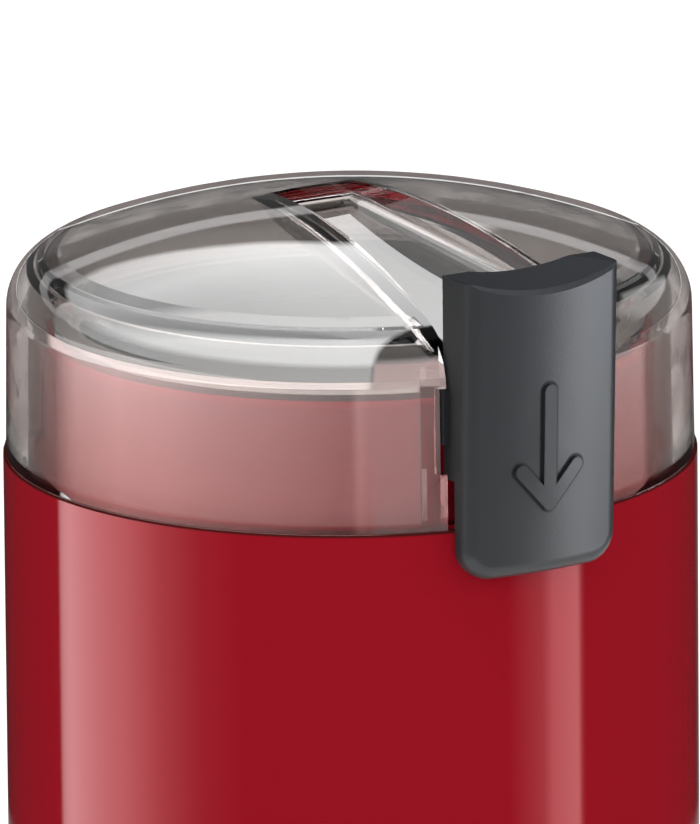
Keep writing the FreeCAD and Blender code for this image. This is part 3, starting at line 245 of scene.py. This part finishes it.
def stacked_sheets(name, colour, pitch):
    """Stamped sheets in a stack along the axis, with a thin dark gap between them."""
    material, tree, shader, spot = shader_of(name)
    wave = worked(tree, "SINE", worked(tree, "MULTIPLY", parts_of(tree)["Z"], math.tau / pitch))
    gap = ranged(tree, wave, -1.0, -0.6, 0.0, 1.0)
    cloud = place(tree, "ShaderNodeTexNoise", {"Vector": spot, "Scale": 400.0, "Detail": 4.0})
    rough = ranged(tree, cloud.outputs["Fac"], 0.3, 0.7, 0.34, 0.52)
    tone = mixed(tree, gap, linear(*(part * 0.35 for part in colour)), linear(*colour))
    bump = place(tree, "ShaderNodeBump", {"Strength": 1.0, "Distance": 0.00005, "Height": gap})
    tree.links.new(tone, shader.inputs["Base Color"])
    tree.links.new(rough, shader.inputs["Roughness"])
    tree.links.new(bump.outputs["Normal"], shader.inputs["Normal"])
    shader.inputs["Metallic"].default_value = 1.0
    return material


shaft_steel = metal("ground_shaft", (190, 190, 192), 0.18, stretch=(300, 300, 3000), stain=0.1)
laminations = stacked_sheets("laminations", (124, 126, 130), 0.0005)
copper = metal("winding_copper", (176, 96, 48), 0.32, lines=0.2, height=0.00006, stretch=(1600, 1600, 500))
commutator = metal("turned_copper", (196, 122, 84), 0.25, stretch=(300, 300, 3000), stain=0.3)
finish(shaft_steel, "motor_shaft")
finish(laminations, "rotor_core", "stator_core")
finish(copper, "rotor_windings", "field_coil_front", "field_coil_rear")
finish(commutator, "commutator")
finish(spring_wire, "shaft_ring", "thrust_washer")


# Motor frame: bridge over the stator, its long bolts, and the rubber dampers that hold it.
# The bridge is pressed from zinc-plated sheet. The dampers are soft rubber, and the bolts are plain.
finish(zinc, "motor_bridge", "motor_bolts")
finish(foot_rubber, "rubber_dampers")


# Switch, capacitor and thermal fuse.
# The switch body is a dark moulding screwed to the housing. The slider in the wall's groove is undyed, and
# its spring lifts it. The capacitor is a yellow box, and the fuse has a tinned case.
def wound_spring(name, node, body, centres, radius, wire, turns):
    """A wound spring with closed ends, in place of its plain solid, carried with its body."""
    low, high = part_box(node)
    length = high[2] - low[2]
    middle = (low[1] + high[1]) / 2
    steps = 28
    closed_pitch = wire * 1.06
    open_pitch = (length - wire - closed_pitch * 2) / (turns - 2)
    coils = bmesh.new()
    for across in centres:
        start = Matrix.Translation((across + radius - wire / 2, middle, low[2] + wire / 2))
        section = bmesh.ops.create_circle(
            coils, segments=10, radius=wire / 2, matrix=start @ Matrix.Rotation(math.pi / 2, 4, "X"))
        moving = section["verts"] + list({edge for vert in section["verts"] for edge in vert.link_edges})
        for rounds, pitch in ((1, closed_pitch), (turns - 2, open_pitch), (1, closed_pitch)):
            swept = bmesh.ops.spin(
                coils, geom=moving, cent=(across, middle, 0), axis=(0, 0, 1), dvec=(0, 0, pitch / steps),
                angle=math.tau * rounds, steps=steps * rounds)
            moving = swept["geom_last"]
    bmesh.ops.holes_fill(coils, edges=[edge for edge in coils.edges if edge.is_boundary], sides=0)
    bmesh.ops.recalc_face_normals(coils, faces=coils.faces)
    for face in coils.faces:
        face.smooth = len(face.verts) == 4
    mesh = bpy.data.meshes.new(name)
    coils.to_mesh(mesh)
    coils.free()
    mesh.materials.append(spring_wire)
    spring = bpy.data.objects.new(name, mesh)
    bpy.context.scene.collection.objects.link(spring)
    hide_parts(node)
    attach(spring, body)
    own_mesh(spring)


switch_case = plastic("switch_case", (40, 41, 44), 0.5, grain=1800.0, height=0.00002)
switch_red = plastic("switch_red", (158, 44, 36), 0.42)
slider_plastic = plastic("slider_plastic", (222, 218, 204), 0.4, tone=0.05,
                         settings={"Subsurface Weight": 0.1, "Subsurface Scale": 0.002})
capacitor_case = plastic("capacitor_case", (206, 164, 52), 0.25, grain=900.0, height=0.000005)
fuse_case = metal("fuse_case", (200, 196, 186), 0.38, stretch=(400, 1500, 1500), stain=0.2)
finish(switch_case, "switch_body")
finish(switch_red, "switch_plunger")
finish(slider_plastic, "switch_slider")
finish(zinc, "switch_screws")
finish(capacitor_case, "suppression_capacitor")
finish(fuse_case, "thermal_fuse")
wound_spring("slider_coil", "slider_spring", "base",
             centres=(0.011,), radius=0.0017, wire=0.00045, turns=6)


# Motor carrier, its screws and the bowl's shaft seal.
# The carrier closes the motor space, and its pedestal bears the bowl. The seal is moulded rubber.
finish(frame_moulding, "motor_carrier")
finish(zinc, "carrier_screws")
finish(foot_rubber, "shaft_seal", "bowl_gasket")


# Bowl: drawn from stainless sheet, with its lines running round, as a polishing wheel leaves them.
# Its rim lies on the gasket, and the blade's shaft comes up through the raised hub.
def off_axis(tree, parts):
    """How far a place lies from the motor's axis."""
    flat = place(tree, "ShaderNodeCombineXYZ", {0: parts["X"], 1: parts["Y"]})
    return place(tree, "ShaderNodeVectorMath", {0: flat.outputs[0]}, operation="LENGTH").outputs["Value"]


def ringed_steel(name, colour, roughness):
    """Steel polished on a wheel: fine lines that run round the motor's axis."""
    material, tree, shader = shader_of(name)[:3]
    parts = parts_of(tree)
    along = place(tree, "ShaderNodeCombineXYZ", {0: off_axis(tree, parts), 1: parts["Z"]})
    wide = place(tree, "ShaderNodeMapping", {"Vector": along.outputs[0], "Scale": (5200, 5200, 1)})
    skin = place(tree, "ShaderNodeGroup", {"Place": wide.outputs[0]}, node_tree=metal_lines)
    dress(tree, shader, skin, {"Colour": linear(*colour), "Roughness": roughness, "Lines": 0.16,
                               "Line Height": 0.000003, "Stain": 0.08})
    shader.inputs["Metallic"].default_value = 1.0
    return material


bowl_steel = ringed_steel("bowl_steel", (208, 207, 204), 0.24)
finish(bowl_steel, "bowl")


# Blade, its washer and the cap nut that holds them on the shaft.
# Two wings are twisted from one stainless strip, and their edges are ground. The nut is polished.
blade_steel = metal("blade_steel", (204, 204, 203), 0.2, lines=0.18, stretch=(2600, 260, 900), stain=0.06)
nut_steel = metal("nut_steel", (206, 206, 206), 0.12, lines=0.05, stain=0.05)
finish(blade_steel, "blade")
finish(nut_steel, "blade_washer", "blade_nut")


# Housing: one injection moulding in high-gloss red, closed from below by the base plate.
# Its collar goes up inside the lid, and the polished mould leaves a mirror skin with a faint waviness.
# The rounded outer edge at the seam is painted dark brown, as painted shade under the lid's rim.
def paint_shade(material, share, colour):
    """Paints shade on a finish: a second, darker colour, by a share that changes over the surface."""
    tree = material.node_tree
    base = tree.nodes["Principled BSDF"].inputs["Base Color"]
    tree.links.new(mixed(tree, share, base.links[0].from_socket, colour), base)


red_gloss = plastic("red_gloss", (152, 20, 34), 0.06, haze=0.05, tone=0.03, grain=500.0, height=0.0000008,
                    flow=0.000003, settings={"IOR": 1.5, "Specular Tint": (1.0, 0.38, 0.4, 1.0)})
red_tree = red_gloss.node_tree
red_parts = parts_of(red_tree)
housing_top, housing_edge = 0.1498, 0.0422
# Painted shade: a dark brown band on the rounded outer edge just under the lid's rim.
near_seam = ranged(red_tree, red_parts["Z"], housing_top - 0.00025, housing_top, 0.0, 1.0)
at_edge = ranged(red_tree, off_axis(red_tree, red_parts), housing_edge - 0.0004, housing_edge, 0.0, 1.0)
paint_shade(red_gloss, worked(red_tree, "MULTIPLY", near_seam, at_edge), linear(70, 24, 22))
finish(red_gloss, "housing")


# Lid: moulded in clear smoked plastic, polished inside and out. It lifts off the collar.
# Its dome has a finger channel that runs down to the pocket for the button, and a shallow ledge round its
# foot. The tint shows more where the wall is seen edge on, and a dark line of painted shade lies on the rim
# at the seam.
def smoked_plastic():
    """Clear plastic with a warm grey tint, which lets the lamps through to what it covers."""
    material, tree, shader, spot = shader_of("smoked_plastic")
    parts = parts_of(tree)
    ledge_rise, ledge_fall, ledge_height = (0.0356, 0.0376), (0.0378, 0.0384), 0.00036
    pocket_side, pocket_back, rim_shade_band = (0.0115, 0.0125), (0.0, 0.001), (0.1501, 0.1506)
    smear = place(tree, "ShaderNodeTexNoise", {"Vector": spot, "Scale": 120.0, "Detail": 5.0,
                                               "Distortion": 1.0})
    rough = ranged(tree, smear.outputs["Fac"], 0.4, 0.75, 0.0, 0.04)
    radius = off_axis(tree, parts)
    rise = ranged(tree, radius, *ledge_rise, 0.0, 1.0)
    fall = ranged(tree, radius, *ledge_fall, 0.0, 1.0)
    aside = ranged(tree, worked(tree, "ABSOLUTE", parts["X"]), *pocket_side, 0.0, 1.0)
    behind = ranged(tree, parts["Y"], *pocket_back, 0.0, 1.0)
    clear_of_pocket = worked(tree, "MAXIMUM", aside, behind)
    ledge = worked(tree, "MULTIPLY", worked(tree, "SUBTRACT", rise, fall), clear_of_pocket)
    wave = place(tree, "ShaderNodeTexNoise", {"Vector": spot, "Scale": 60.0, "Detail": 1.0})
    soft = place(tree, "ShaderNodeBump", {"Strength": 1.0, "Distance": 0.00001,
                                          "Height": wave.outputs["Fac"]})
    bump = place(tree, "ShaderNodeBump", {"Strength": 1.0, "Distance": ledge_height, "Height": ledge,
                                          "Normal": soft.outputs["Normal"]})
    facing = place(tree, "ShaderNodeLayerWeight", {"Blend": 0.5}).outputs["Facing"]
    edge_on = ranged(tree, facing, 0.2, 0.5, 0.0, 1.0)
    tint = mixed(tree, edge_on, (0.9, 0.86, 0.84, 1), (0.15, 0.13, 0.122, 1))
    # Painted shade: the rim's foot at the seam is tinted dark brown.
    tone = mixed(tree, ranged(tree, parts["Z"], *rim_shade_band, 0.0, 1.0), (0.12, 0.08, 0.07, 1), tint)
    tree.links.new(tone, shader.inputs["Base Color"])
    tree.links.new(rough, shader.inputs["Roughness"])
    tree.links.new(bump.outputs["Normal"], shader.inputs["Normal"])
    shader.inputs["Transmission Weight"].default_value = 1.0
    shader.inputs["IOR"].default_value = 1.52
    shader.inputs["Coat Weight"].default_value = 1.0
    shader.inputs["Coat Roughness"].default_value = 0.0
    shader.inputs["Coat IOR"].default_value = 1.5
    path = tree.nodes.new("ShaderNodeLightPath")
    clear = place(tree, "ShaderNodeBsdfTransparent", {"Color": (0.94, 0.93, 0.92, 1)})
    blend = place(tree, "ShaderNodeMixShader", {0: path.outputs["Is Shadow Ray"],
                                                1: shader.outputs[0], 2: clear.outputs[0]})
    tree.links.new(blend.outputs[0], tree.nodes["Material Output"].inputs["Surface"])
    return material


finish(smoked_plastic(), "lid")


# Push button and its two springs.
# The button is a satin dark grey moulding with a fine spark texture. It slides in the lid's pocket, and
# the coil springs under its shoulders bring it back up. Painted shade lies round the raised arrow and on its
# sides.
def near_stroke(tree, across, up, start, end):
    """How far a place on the button's face lies from a straight stroke of the arrow."""
    run = (end[0] - start[0], end[1] - start[1])
    length = math.hypot(*run)
    along = (run[0] / length, run[1] / length)
    side = worked(tree, "SUBTRACT", across, start[0])
    rise = worked(tree, "SUBTRACT", up, start[1])
    reached = worked(tree, "MULTIPLY_ADD", side, along[0], worked(tree, "MULTIPLY", rise, along[1]))
    held = ranged(tree, reached, 0.0, length, 0.0, length)
    back_side = worked(tree, "MULTIPLY_ADD", held, -along[0], side)
    back_rise = worked(tree, "MULTIPLY_ADD", held, -along[1], rise)
    gap = place(tree, "ShaderNodeCombineXYZ", {0: back_side, 1: back_rise})
    return place(tree, "ShaderNodeVectorMath", {0: gap.outputs[0]}, operation="LENGTH").outputs["Value"]


def away_from(tree, value, middle):
    """How far a value is from a middle one, to either side."""
    return worked(tree, "ABSOLUTE", worked(tree, "SUBTRACT", value, middle))


button_grey = plastic("button_grey", (54, 56, 59), 0.30, haze=0.03, tone=0.04, grain=4200.0,
                      height=0.000012)
button_tree = button_grey.node_tree
button_parts = parts_of(button_tree)
across, up = button_parts["X"], button_parts["Z"]
arrow_top, arrow_tip, barb_side, barb_top, stroke_half = 0.1672, 0.1530, 0.0039, 0.1574, 0.00105
face_depth, side_start = (-0.0458, -0.0455), (0.0104, 0.0109)
stem = near_stroke(button_tree, across, up, (0.0, arrow_top), (0.0, arrow_tip))
left_barb = near_stroke(button_tree, across, up, (0.0, arrow_tip), (-barb_side, barb_top))
right_barb = near_stroke(button_tree, across, up, (0.0, arrow_tip), (barb_side, barb_top))
barbs = worked(button_tree, "MINIMUM", left_barb, right_barb)
off_outline = away_from(button_tree, worked(button_tree, "MINIMUM", stem, barbs), stroke_half)
# Painted shade in the crease round the raised arrow, on the front face only.
arrow_crease_shade = ranged(button_tree, off_outline, 0.00008, 0.00034, 0.75, 0.0)
on_face = ranged(button_tree, button_parts["Y"], *face_depth, 1.0, 0.0)
# Painted shade: the side walls are darkened, and their roughness goes up with the same share.
side_wall_shade = ranged(button_tree, worked(button_tree, "ABSOLUTE", across), *side_start, 0.0, 0.55)
face_crease_shade = worked(button_tree, "MULTIPLY", arrow_crease_shade, on_face)
button_shade = worked(button_tree, "MAXIMUM", face_crease_shade, side_wall_shade)
paint_shade(button_grey, button_shade, linear(16, 17, 18))
button_rough = button_tree.nodes["Principled BSDF"].inputs["Roughness"]
dull = worked(button_tree, "MULTIPLY_ADD", button_shade, 0.5, button_rough.links[0].from_socket)
button_tree.links.new(dull, button_rough)
finish(button_grey, "push_button")
wound_spring("button_coils", "button_springs", "lid",
             centres=(-0.0054, 0.0054), radius=0.0015, wire=0.00045, turns=7)


# Floor and room: a pale floor, which keeps the grinder's shadow, in an evenly lit white room.
# The room shows as plain white to the camera and in gloss and glass, and lights the grinder at less.
floor_sheet = bmesh.new()
bmesh.ops.create_circle(floor_sheet, cap_ends=True, segments=96, radius=3.0)
floor_mesh = bpy.data.meshes.new("floor")
floor_sheet.to_mesh(floor_mesh)
floor_sheet.free()
floor = bpy.data.objects.new("floor", floor_mesh)
bpy.context.scene.collection.objects.link(floor)
floor_material = bpy.data.materials.new("pale_floor")
floor_material.use_nodes = True
floor_tree = floor_material.node_tree
floor_path = floor_tree.nodes.new("ShaderNodeLightPath")
floor_shader = floor_tree.nodes["Principled BSDF"]
floor_shader.inputs["Base Color"].default_value = (0.9, 0.9, 0.89, 1)
floor_shader.inputs["Roughness"].default_value = 0.9
floor_shader.inputs["Specular IOR Level"].default_value = 0.0
floor_shader.inputs["Emission Color"].default_value = (1, 1, 1, 1)
lift = worked(floor_tree, "MULTIPLY", floor_path.outputs["Is Camera Ray"], 0.2)
floor_tree.links.new(lift, floor_shader.inputs["Emission Strength"])
floor_mesh.materials.append(floor_material)

world = bpy.data.worlds.new("white_room")
world.use_nodes = True
bpy.context.scene.world = world
sky = world.node_tree
sky_path = sky.nodes.new("ShaderNodeLightPath").outputs
seen = worked(sky, "MAXIMUM", sky_path["Is Camera Ray"], sky_path["Is Glossy Ray"])
seen_through = worked(sky, "MAXIMUM", seen, sky_path["Is Transmission Ray"])
brightness = ranged(sky, seen_through, 0.0, 1.0, 0.45, 1.0)
sky.links.new(brightness, sky.nodes["Background"].inputs["Strength"])
sky.nodes["Background"].inputs["Color"].default_value = (1, 1, 1, 1)


# Lamps: a wide soft box overhead and one at each side of the front.
# They give the soft light alone; the cards below make what shows in the gloss.
def softbox(name, spot, aim, width, height, power):
    """A soft lamp that stands at a spot and looks at another."""
    lamp = bpy.data.lights.new(name, "AREA")
    lamp.shape = "RECTANGLE"
    lamp.size = width
    lamp.size_y = height
    lamp.energy = power
    box = bpy.data.objects.new(name, lamp)
    box.location = spot
    box.rotation_euler = (Vector(aim) - Vector(spot)).to_track_quat("-Z", "Y").to_euler()
    box.visible_glossy = False
    box.visible_transmission = False
    bpy.context.scene.collection.objects.link(box)


softbox("top_light", (0.2, 0.1, 1.5), (0, 0, 0.1), 1.6, 1.6, 16.0)
softbox("left_light", (-1.4, -0.7, 0.8), (0, 0, 0.12), 1.0, 1.4, 9.0)
softbox("right_light", (1.1, -1.2, 0.9), (0, 0, 0.12), 0.9, 1.4, 7.0)


# Cards for the housing and the button: upright bands round the grinder that only show in gloss.
# The low one is black but for a pale card at each side, which makes the housing's two upright highlights.
# The tall one stands to the right and shows in the button. Bearings count from the front view's direction.
front_turn = -31.4


def card(name, mesh_source, seen_by=None):
    """A glowing or dark card that only shows in gloss, and may show in one piece alone."""
    mesh = bpy.data.meshes.new(name)
    mesh_source.to_mesh(mesh)
    mesh_source.free()
    sheet = bpy.data.objects.new(name, mesh)
    bpy.context.scene.collection.objects.link(sheet)
    sheet.visible_camera = False
    sheet.visible_diffuse = False
    sheet.visible_shadow = False
    sheet.visible_transmission = False
    if seen_by:
        viewers = bpy.data.collections.new(name + "_viewers")
        viewers.objects.link(nodes[seen_by])
        sheet.light_linking.receiver_collection = viewers
    material = bpy.data.materials.new(name)
    material.use_nodes = True
    material.cycles.emission_sampling = "NONE"
    mesh.materials.append(material)
    tree = material.node_tree
    tree.nodes.clear()
    spot = tree.nodes.new("ShaderNodeTexCoord").outputs["Object"]
    turned = place(tree, "ShaderNodeVectorRotate", {"Vector": spot, "Axis": (0, 0, 1),
                                                    "Angle": math.radians(-front_turn)})
    parts = place(tree, "ShaderNodeSeparateXYZ", {0: turned.outputs[0]}).outputs
    angle = worked(tree, "ARCTAN2", parts["X"], worked(tree, "MULTIPLY", parts["Y"], -1.0))
    return tree, parts, worked(tree, "MULTIPLY", angle, 180 / math.pi)


def stepped(tree, value, stops, most=15.0):
    """A level that follows rows of (place from -180 to 180, level)."""
    ramp = place(tree, "ShaderNodeValToRGB", {0: ranged(tree, value, -180.0, 180.0, 0.0, 1.0)})
    ramp.color_ramp.elements[0].position = 0.0
    ramp.color_ramp.elements[1].position = 1.0
    for step, level in stops[1:-1]:
        ramp.color_ramp.elements.new((step + 180) / 360)
    for element, (step, level) in zip(ramp.color_ramp.elements, stops):
        element.color = (level / most, level / most, level / most, 1)
    return worked(tree, "MULTIPLY", ramp.outputs["Color"], most)


def glow(tree, level, colour=(1.0, 1.0, 1.0, 1.0)):
    """Lets a card give off light at a level."""
    lamp = place(tree, "ShaderNodeEmission", {"Strength": level, "Color": colour})
    out = tree.nodes.new("ShaderNodeOutputMaterial")
    tree.links.new(lamp.outputs[0], out.inputs["Surface"])


def upright_band(radius, low, high, start=-180.0, end=180.0):
    """An upright band round the grinder, or the part of it between two bearings, seen from inside."""
    shape = bmesh.new()
    bmesh.ops.create_cone(shape, cap_ends=False, segments=180, radius1=radius, radius2=radius,
                          depth=high - low, matrix=Matrix.Translation((0, 0, (low + high) / 2)))
    outside = []
    for face in shape.faces:
        middle = face.calc_center_median()
        bearing = math.degrees(math.atan2(middle.x, -middle.y))
        if not start <= bearing <= end:
            outside.append(face)
    bmesh.ops.delete(shape, geom=outside, context="FACES")
    bmesh.ops.reverse_faces(shape, faces=shape.faces)
    return shape


low_tree, low_parts, low_angle = card("low_cards", upright_band(0.33, 0.0005, 0.0735))
low_level = stepped(low_tree, low_angle, [
    (-180, 0.02), (-108.0, 0.02), (-106.6, 3.4), (-102.0, 5.0), (-92.0, 4.8), (-78.0, 4.2), (-70, 3.3),
    (-62.3, 2.0), (-48.0, 0.5), (-34.0, 0.02), (50.0, 0.02), (62.3, 1.6), (66.1, 4.0), (74.5, 4.8),
    (76.2, 4.8), (77.6, 0.02), (157.0, 0.02), (163.0, 0.12), (180, 0.02)])
above_floor = ranged(low_tree, low_parts["Z"], 0.0, 0.013, 0.0, 1.0)
low_mix = place(low_tree, "ShaderNodeMix", {"Factor": above_floor, "A": 0.85, "B": low_level})
glow(low_tree, low_mix.outputs["Result"])

tall_tree = card("tall_card", upright_band(0.34, 0.0005, 0.5, 33.0, 58.0), "push_button")[0]
glow(tall_tree, 6.0, (0.94, 0.98, 1.06, 1))


# Cards for the lid: a band round its wall and a dome over its top, which show in the lid alone.
# The band lays a soft veil over the red collar, with a white strip above it. The dome holds the wide
# white card of the front, the dark wedge and the narrow strip at the back, and a rosy patch by the button.
def product(tree, *values):
    """Several values multiplied."""
    result = values[0]
    for value in values[1:]:
        result = worked(tree, "MULTIPLY", result, value)
    return result


rosy, no_tint = (1.0, 0.72, 0.7, 1), (1.0, 1.0, 1.0, 1)
wall_tree, wall_parts, wall_angle = card("lid_band", upright_band(0.42, 0.03, 0.165), "lid")
wall_veil = stepped(wall_tree, wall_angle, [
    (-180, 0.1), (-140, 0.1), (-124, 0.15), (-112, 0.8), (-100, 2.8), (-80, 3.9), (-60, 3.4), (-40, 2.3),
    (-16, 1.4), (-3, 0.9), (0, 0.9), (3, 2.0), (6, 1.5), (28, 1.4), (95, 1.6), (110, 1.6), (114, 0.5),
    (126, 0.15), (150, 0.1), (180, 0.1)])
wall_rise = ranged(wall_tree, wall_parts["Z"], 0.052, 0.074, 0.7, 1.3)
wall_white = stepped(wall_tree, wall_angle, [
    (-180, 0.2), (-116, 0.2), (-112, 3.5), (-90, 7.0), (0, 8.0), (5, 8.0), (7, 3.3), (38, 3.0),
    (44, 0.3), (180, 0.2)])
wall_level = place(wall_tree, "ShaderNodeMix", {
    "Factor": ranged(wall_tree, wall_parts["Z"], 0.093, 0.097, 0.0, 1.0),
    "A": product(wall_tree, wall_veil, wall_rise), "B": wall_white})
wall_tint = mixed(wall_tree, ranged(wall_tree, wall_parts["Z"], 0.052, 0.086, 0.0, 1.0),
                  (1.0, 0.43, 0.41, 1), (1.0, 0.86, 0.84, 1))
beside_button = product(wall_tree, ranged(wall_tree, wall_angle, 6.0, 8.0, 0.0, 1.0),
                        ranged(wall_tree, wall_angle, 60.0, 70.0, 1.0, 0.0))
glow(wall_tree, wall_level.outputs["Result"], mixed(wall_tree, beside_button, wall_tint, rosy))

dome_radius, dome_centre = 1.2, 0.165
dome = bmesh.new()
bmesh.ops.create_uvsphere(dome, u_segments=144, v_segments=72, radius=dome_radius)
bmesh.ops.delete(dome, geom=[vert for vert in dome.verts if vert.co.z < -0.03], context="VERTS")
bmesh.ops.reverse_faces(dome, faces=dome.faces)
bmesh.ops.translate(dome, verts=dome.verts, vec=(0, 0, dome_centre))
dome_tree, dome_parts, dome_angle = card("lid_dome", dome, "lid")
lifted = worked(dome_tree, "SUBTRACT", dome_parts["Z"], dome_centre)
sine = worked(dome_tree, "DIVIDE", lifted, dome_radius)
height = worked(dome_tree, "MULTIPLY", worked(dome_tree, "ARCSINE", sine), 180 / math.pi)

foot = stepped(dome_tree, dome_angle, [
    (-180, 55.0), (-171, 50.5), (-165, 46.0), (-150, 50.0), (-140, 52.0), (-125, 40.0), (-116, 30.0),
    (-109, 2.0), (150, 2.0), (160, 42.0), (180, 42.0)], 60.0)
above_foot = ranged(dome_tree, worked(dome_tree, "SUBTRACT", height, foot), -21.0, -19.0, 0.0, 1.0)
card_side = ranged(dome_tree, dome_parts["X"], 0.13, 0.17, 1.0, 0.0)
card_level = stepped(dome_tree, dome_angle, [
    (-180, 3.4), (-174, 3.3), (-166, 2.9), (-150, 2.4), (-120, 2.5), (-105, 4.6), (-80, 7.0), (0, 8.0),
    (60, 7.0), (150, 3.4), (180, 3.4)])
card_fade = ranged(dome_tree, height, 26.0, 38.0, 0.45, 1.0)
wedge_half = ranged(dome_tree, dome_angle, -118.0, -56.0, 9.0, 0.0)
wedge_edge = worked(dome_tree, "SUBTRACT", away_from(dome_tree, height, 12.0), wedge_half)
wedge = ranged(dome_tree, wedge_edge, -1.0, 0.5, 0.3, 1.0)
main_card = product(dome_tree, above_foot, card_side, card_level, card_fade, wedge)

at_back = ranged(dome_tree, dome_parts["Y"], 0.4, 0.6, 0.0, 1.0)
strip = ranged(dome_tree, away_from(dome_tree, height, 21.0), 1.5, 2.5, 0.7, 0.0)
right_patch = product(dome_tree, ranged(dome_tree, away_from(dome_tree, height, 24.0), 9.0, 11.0, 1.1, 0.0),
                      ranged(dome_tree, dome_parts["X"], 0.5, 0.6, 0.0, 1.0), at_back)
back_cards = worked(dome_tree, "MAXIMUM", product(dome_tree, strip, at_back), right_patch)
beside_card = product(dome_tree, ranged(dome_tree, dome_parts["X"], 0.15, 0.17, 0.0, 1.0),
                      ranged(dome_tree, dome_angle, 32.0, 36.0, 1.0, 0.0),
                      ranged(dome_tree, dome_angle, 2.0, 6.0, 0.0, 1.0),
                      ranged(dome_tree, height, 30.0, 45.0, 1.0, 0.0))
all_cards = worked(dome_tree, "MULTIPLY_ADD", beside_card, 4.4,
                   worked(dome_tree, "MAXIMUM", main_card, back_cards))
darkest = 0.08
glow(dome_tree, worked(dome_tree, "MAXIMUM", all_cards, darkest),
     mixed(dome_tree, beside_card, no_tint, rosy))


# Camera: a long lens 2.5 m off, 31 degrees to the button's left and 15 degrees above it.
# It looks at the seam between lid and housing, a little off centre and turned by half a degree.
aim = Vector((0, 0, 0.150))
turn, tilt, reach = math.radians(front_turn), math.radians(14.83), 2.5
raised, roll = 0.00406, math.radians(-0.526)
towards = Vector((math.sin(turn) * math.cos(tilt), -math.cos(turn) * math.cos(tilt), math.sin(tilt)))
lens = bpy.data.cameras.new("camera")
lens.lens = 882.0
lens.sensor_width = 36.0
lens.clip_start = 0.1
lens.clip_end = 20.0
camera = bpy.data.objects.new("camera", lens)
look = (-towards).to_track_quat("-Z", "Y").to_matrix()
upwards = look @ Vector((0, 1, 0))
camera.matrix_world = (Matrix.Translation(aim + towards * reach + upwards * raised)
                       @ (look @ Matrix.Rotation(roll, 3, "Z")).to_4x4())
bpy.context.scene.collection.objects.link(camera)
bpy.context.scene.camera = camera
bpy.context.scene.view_settings.view_transform = "Standard"
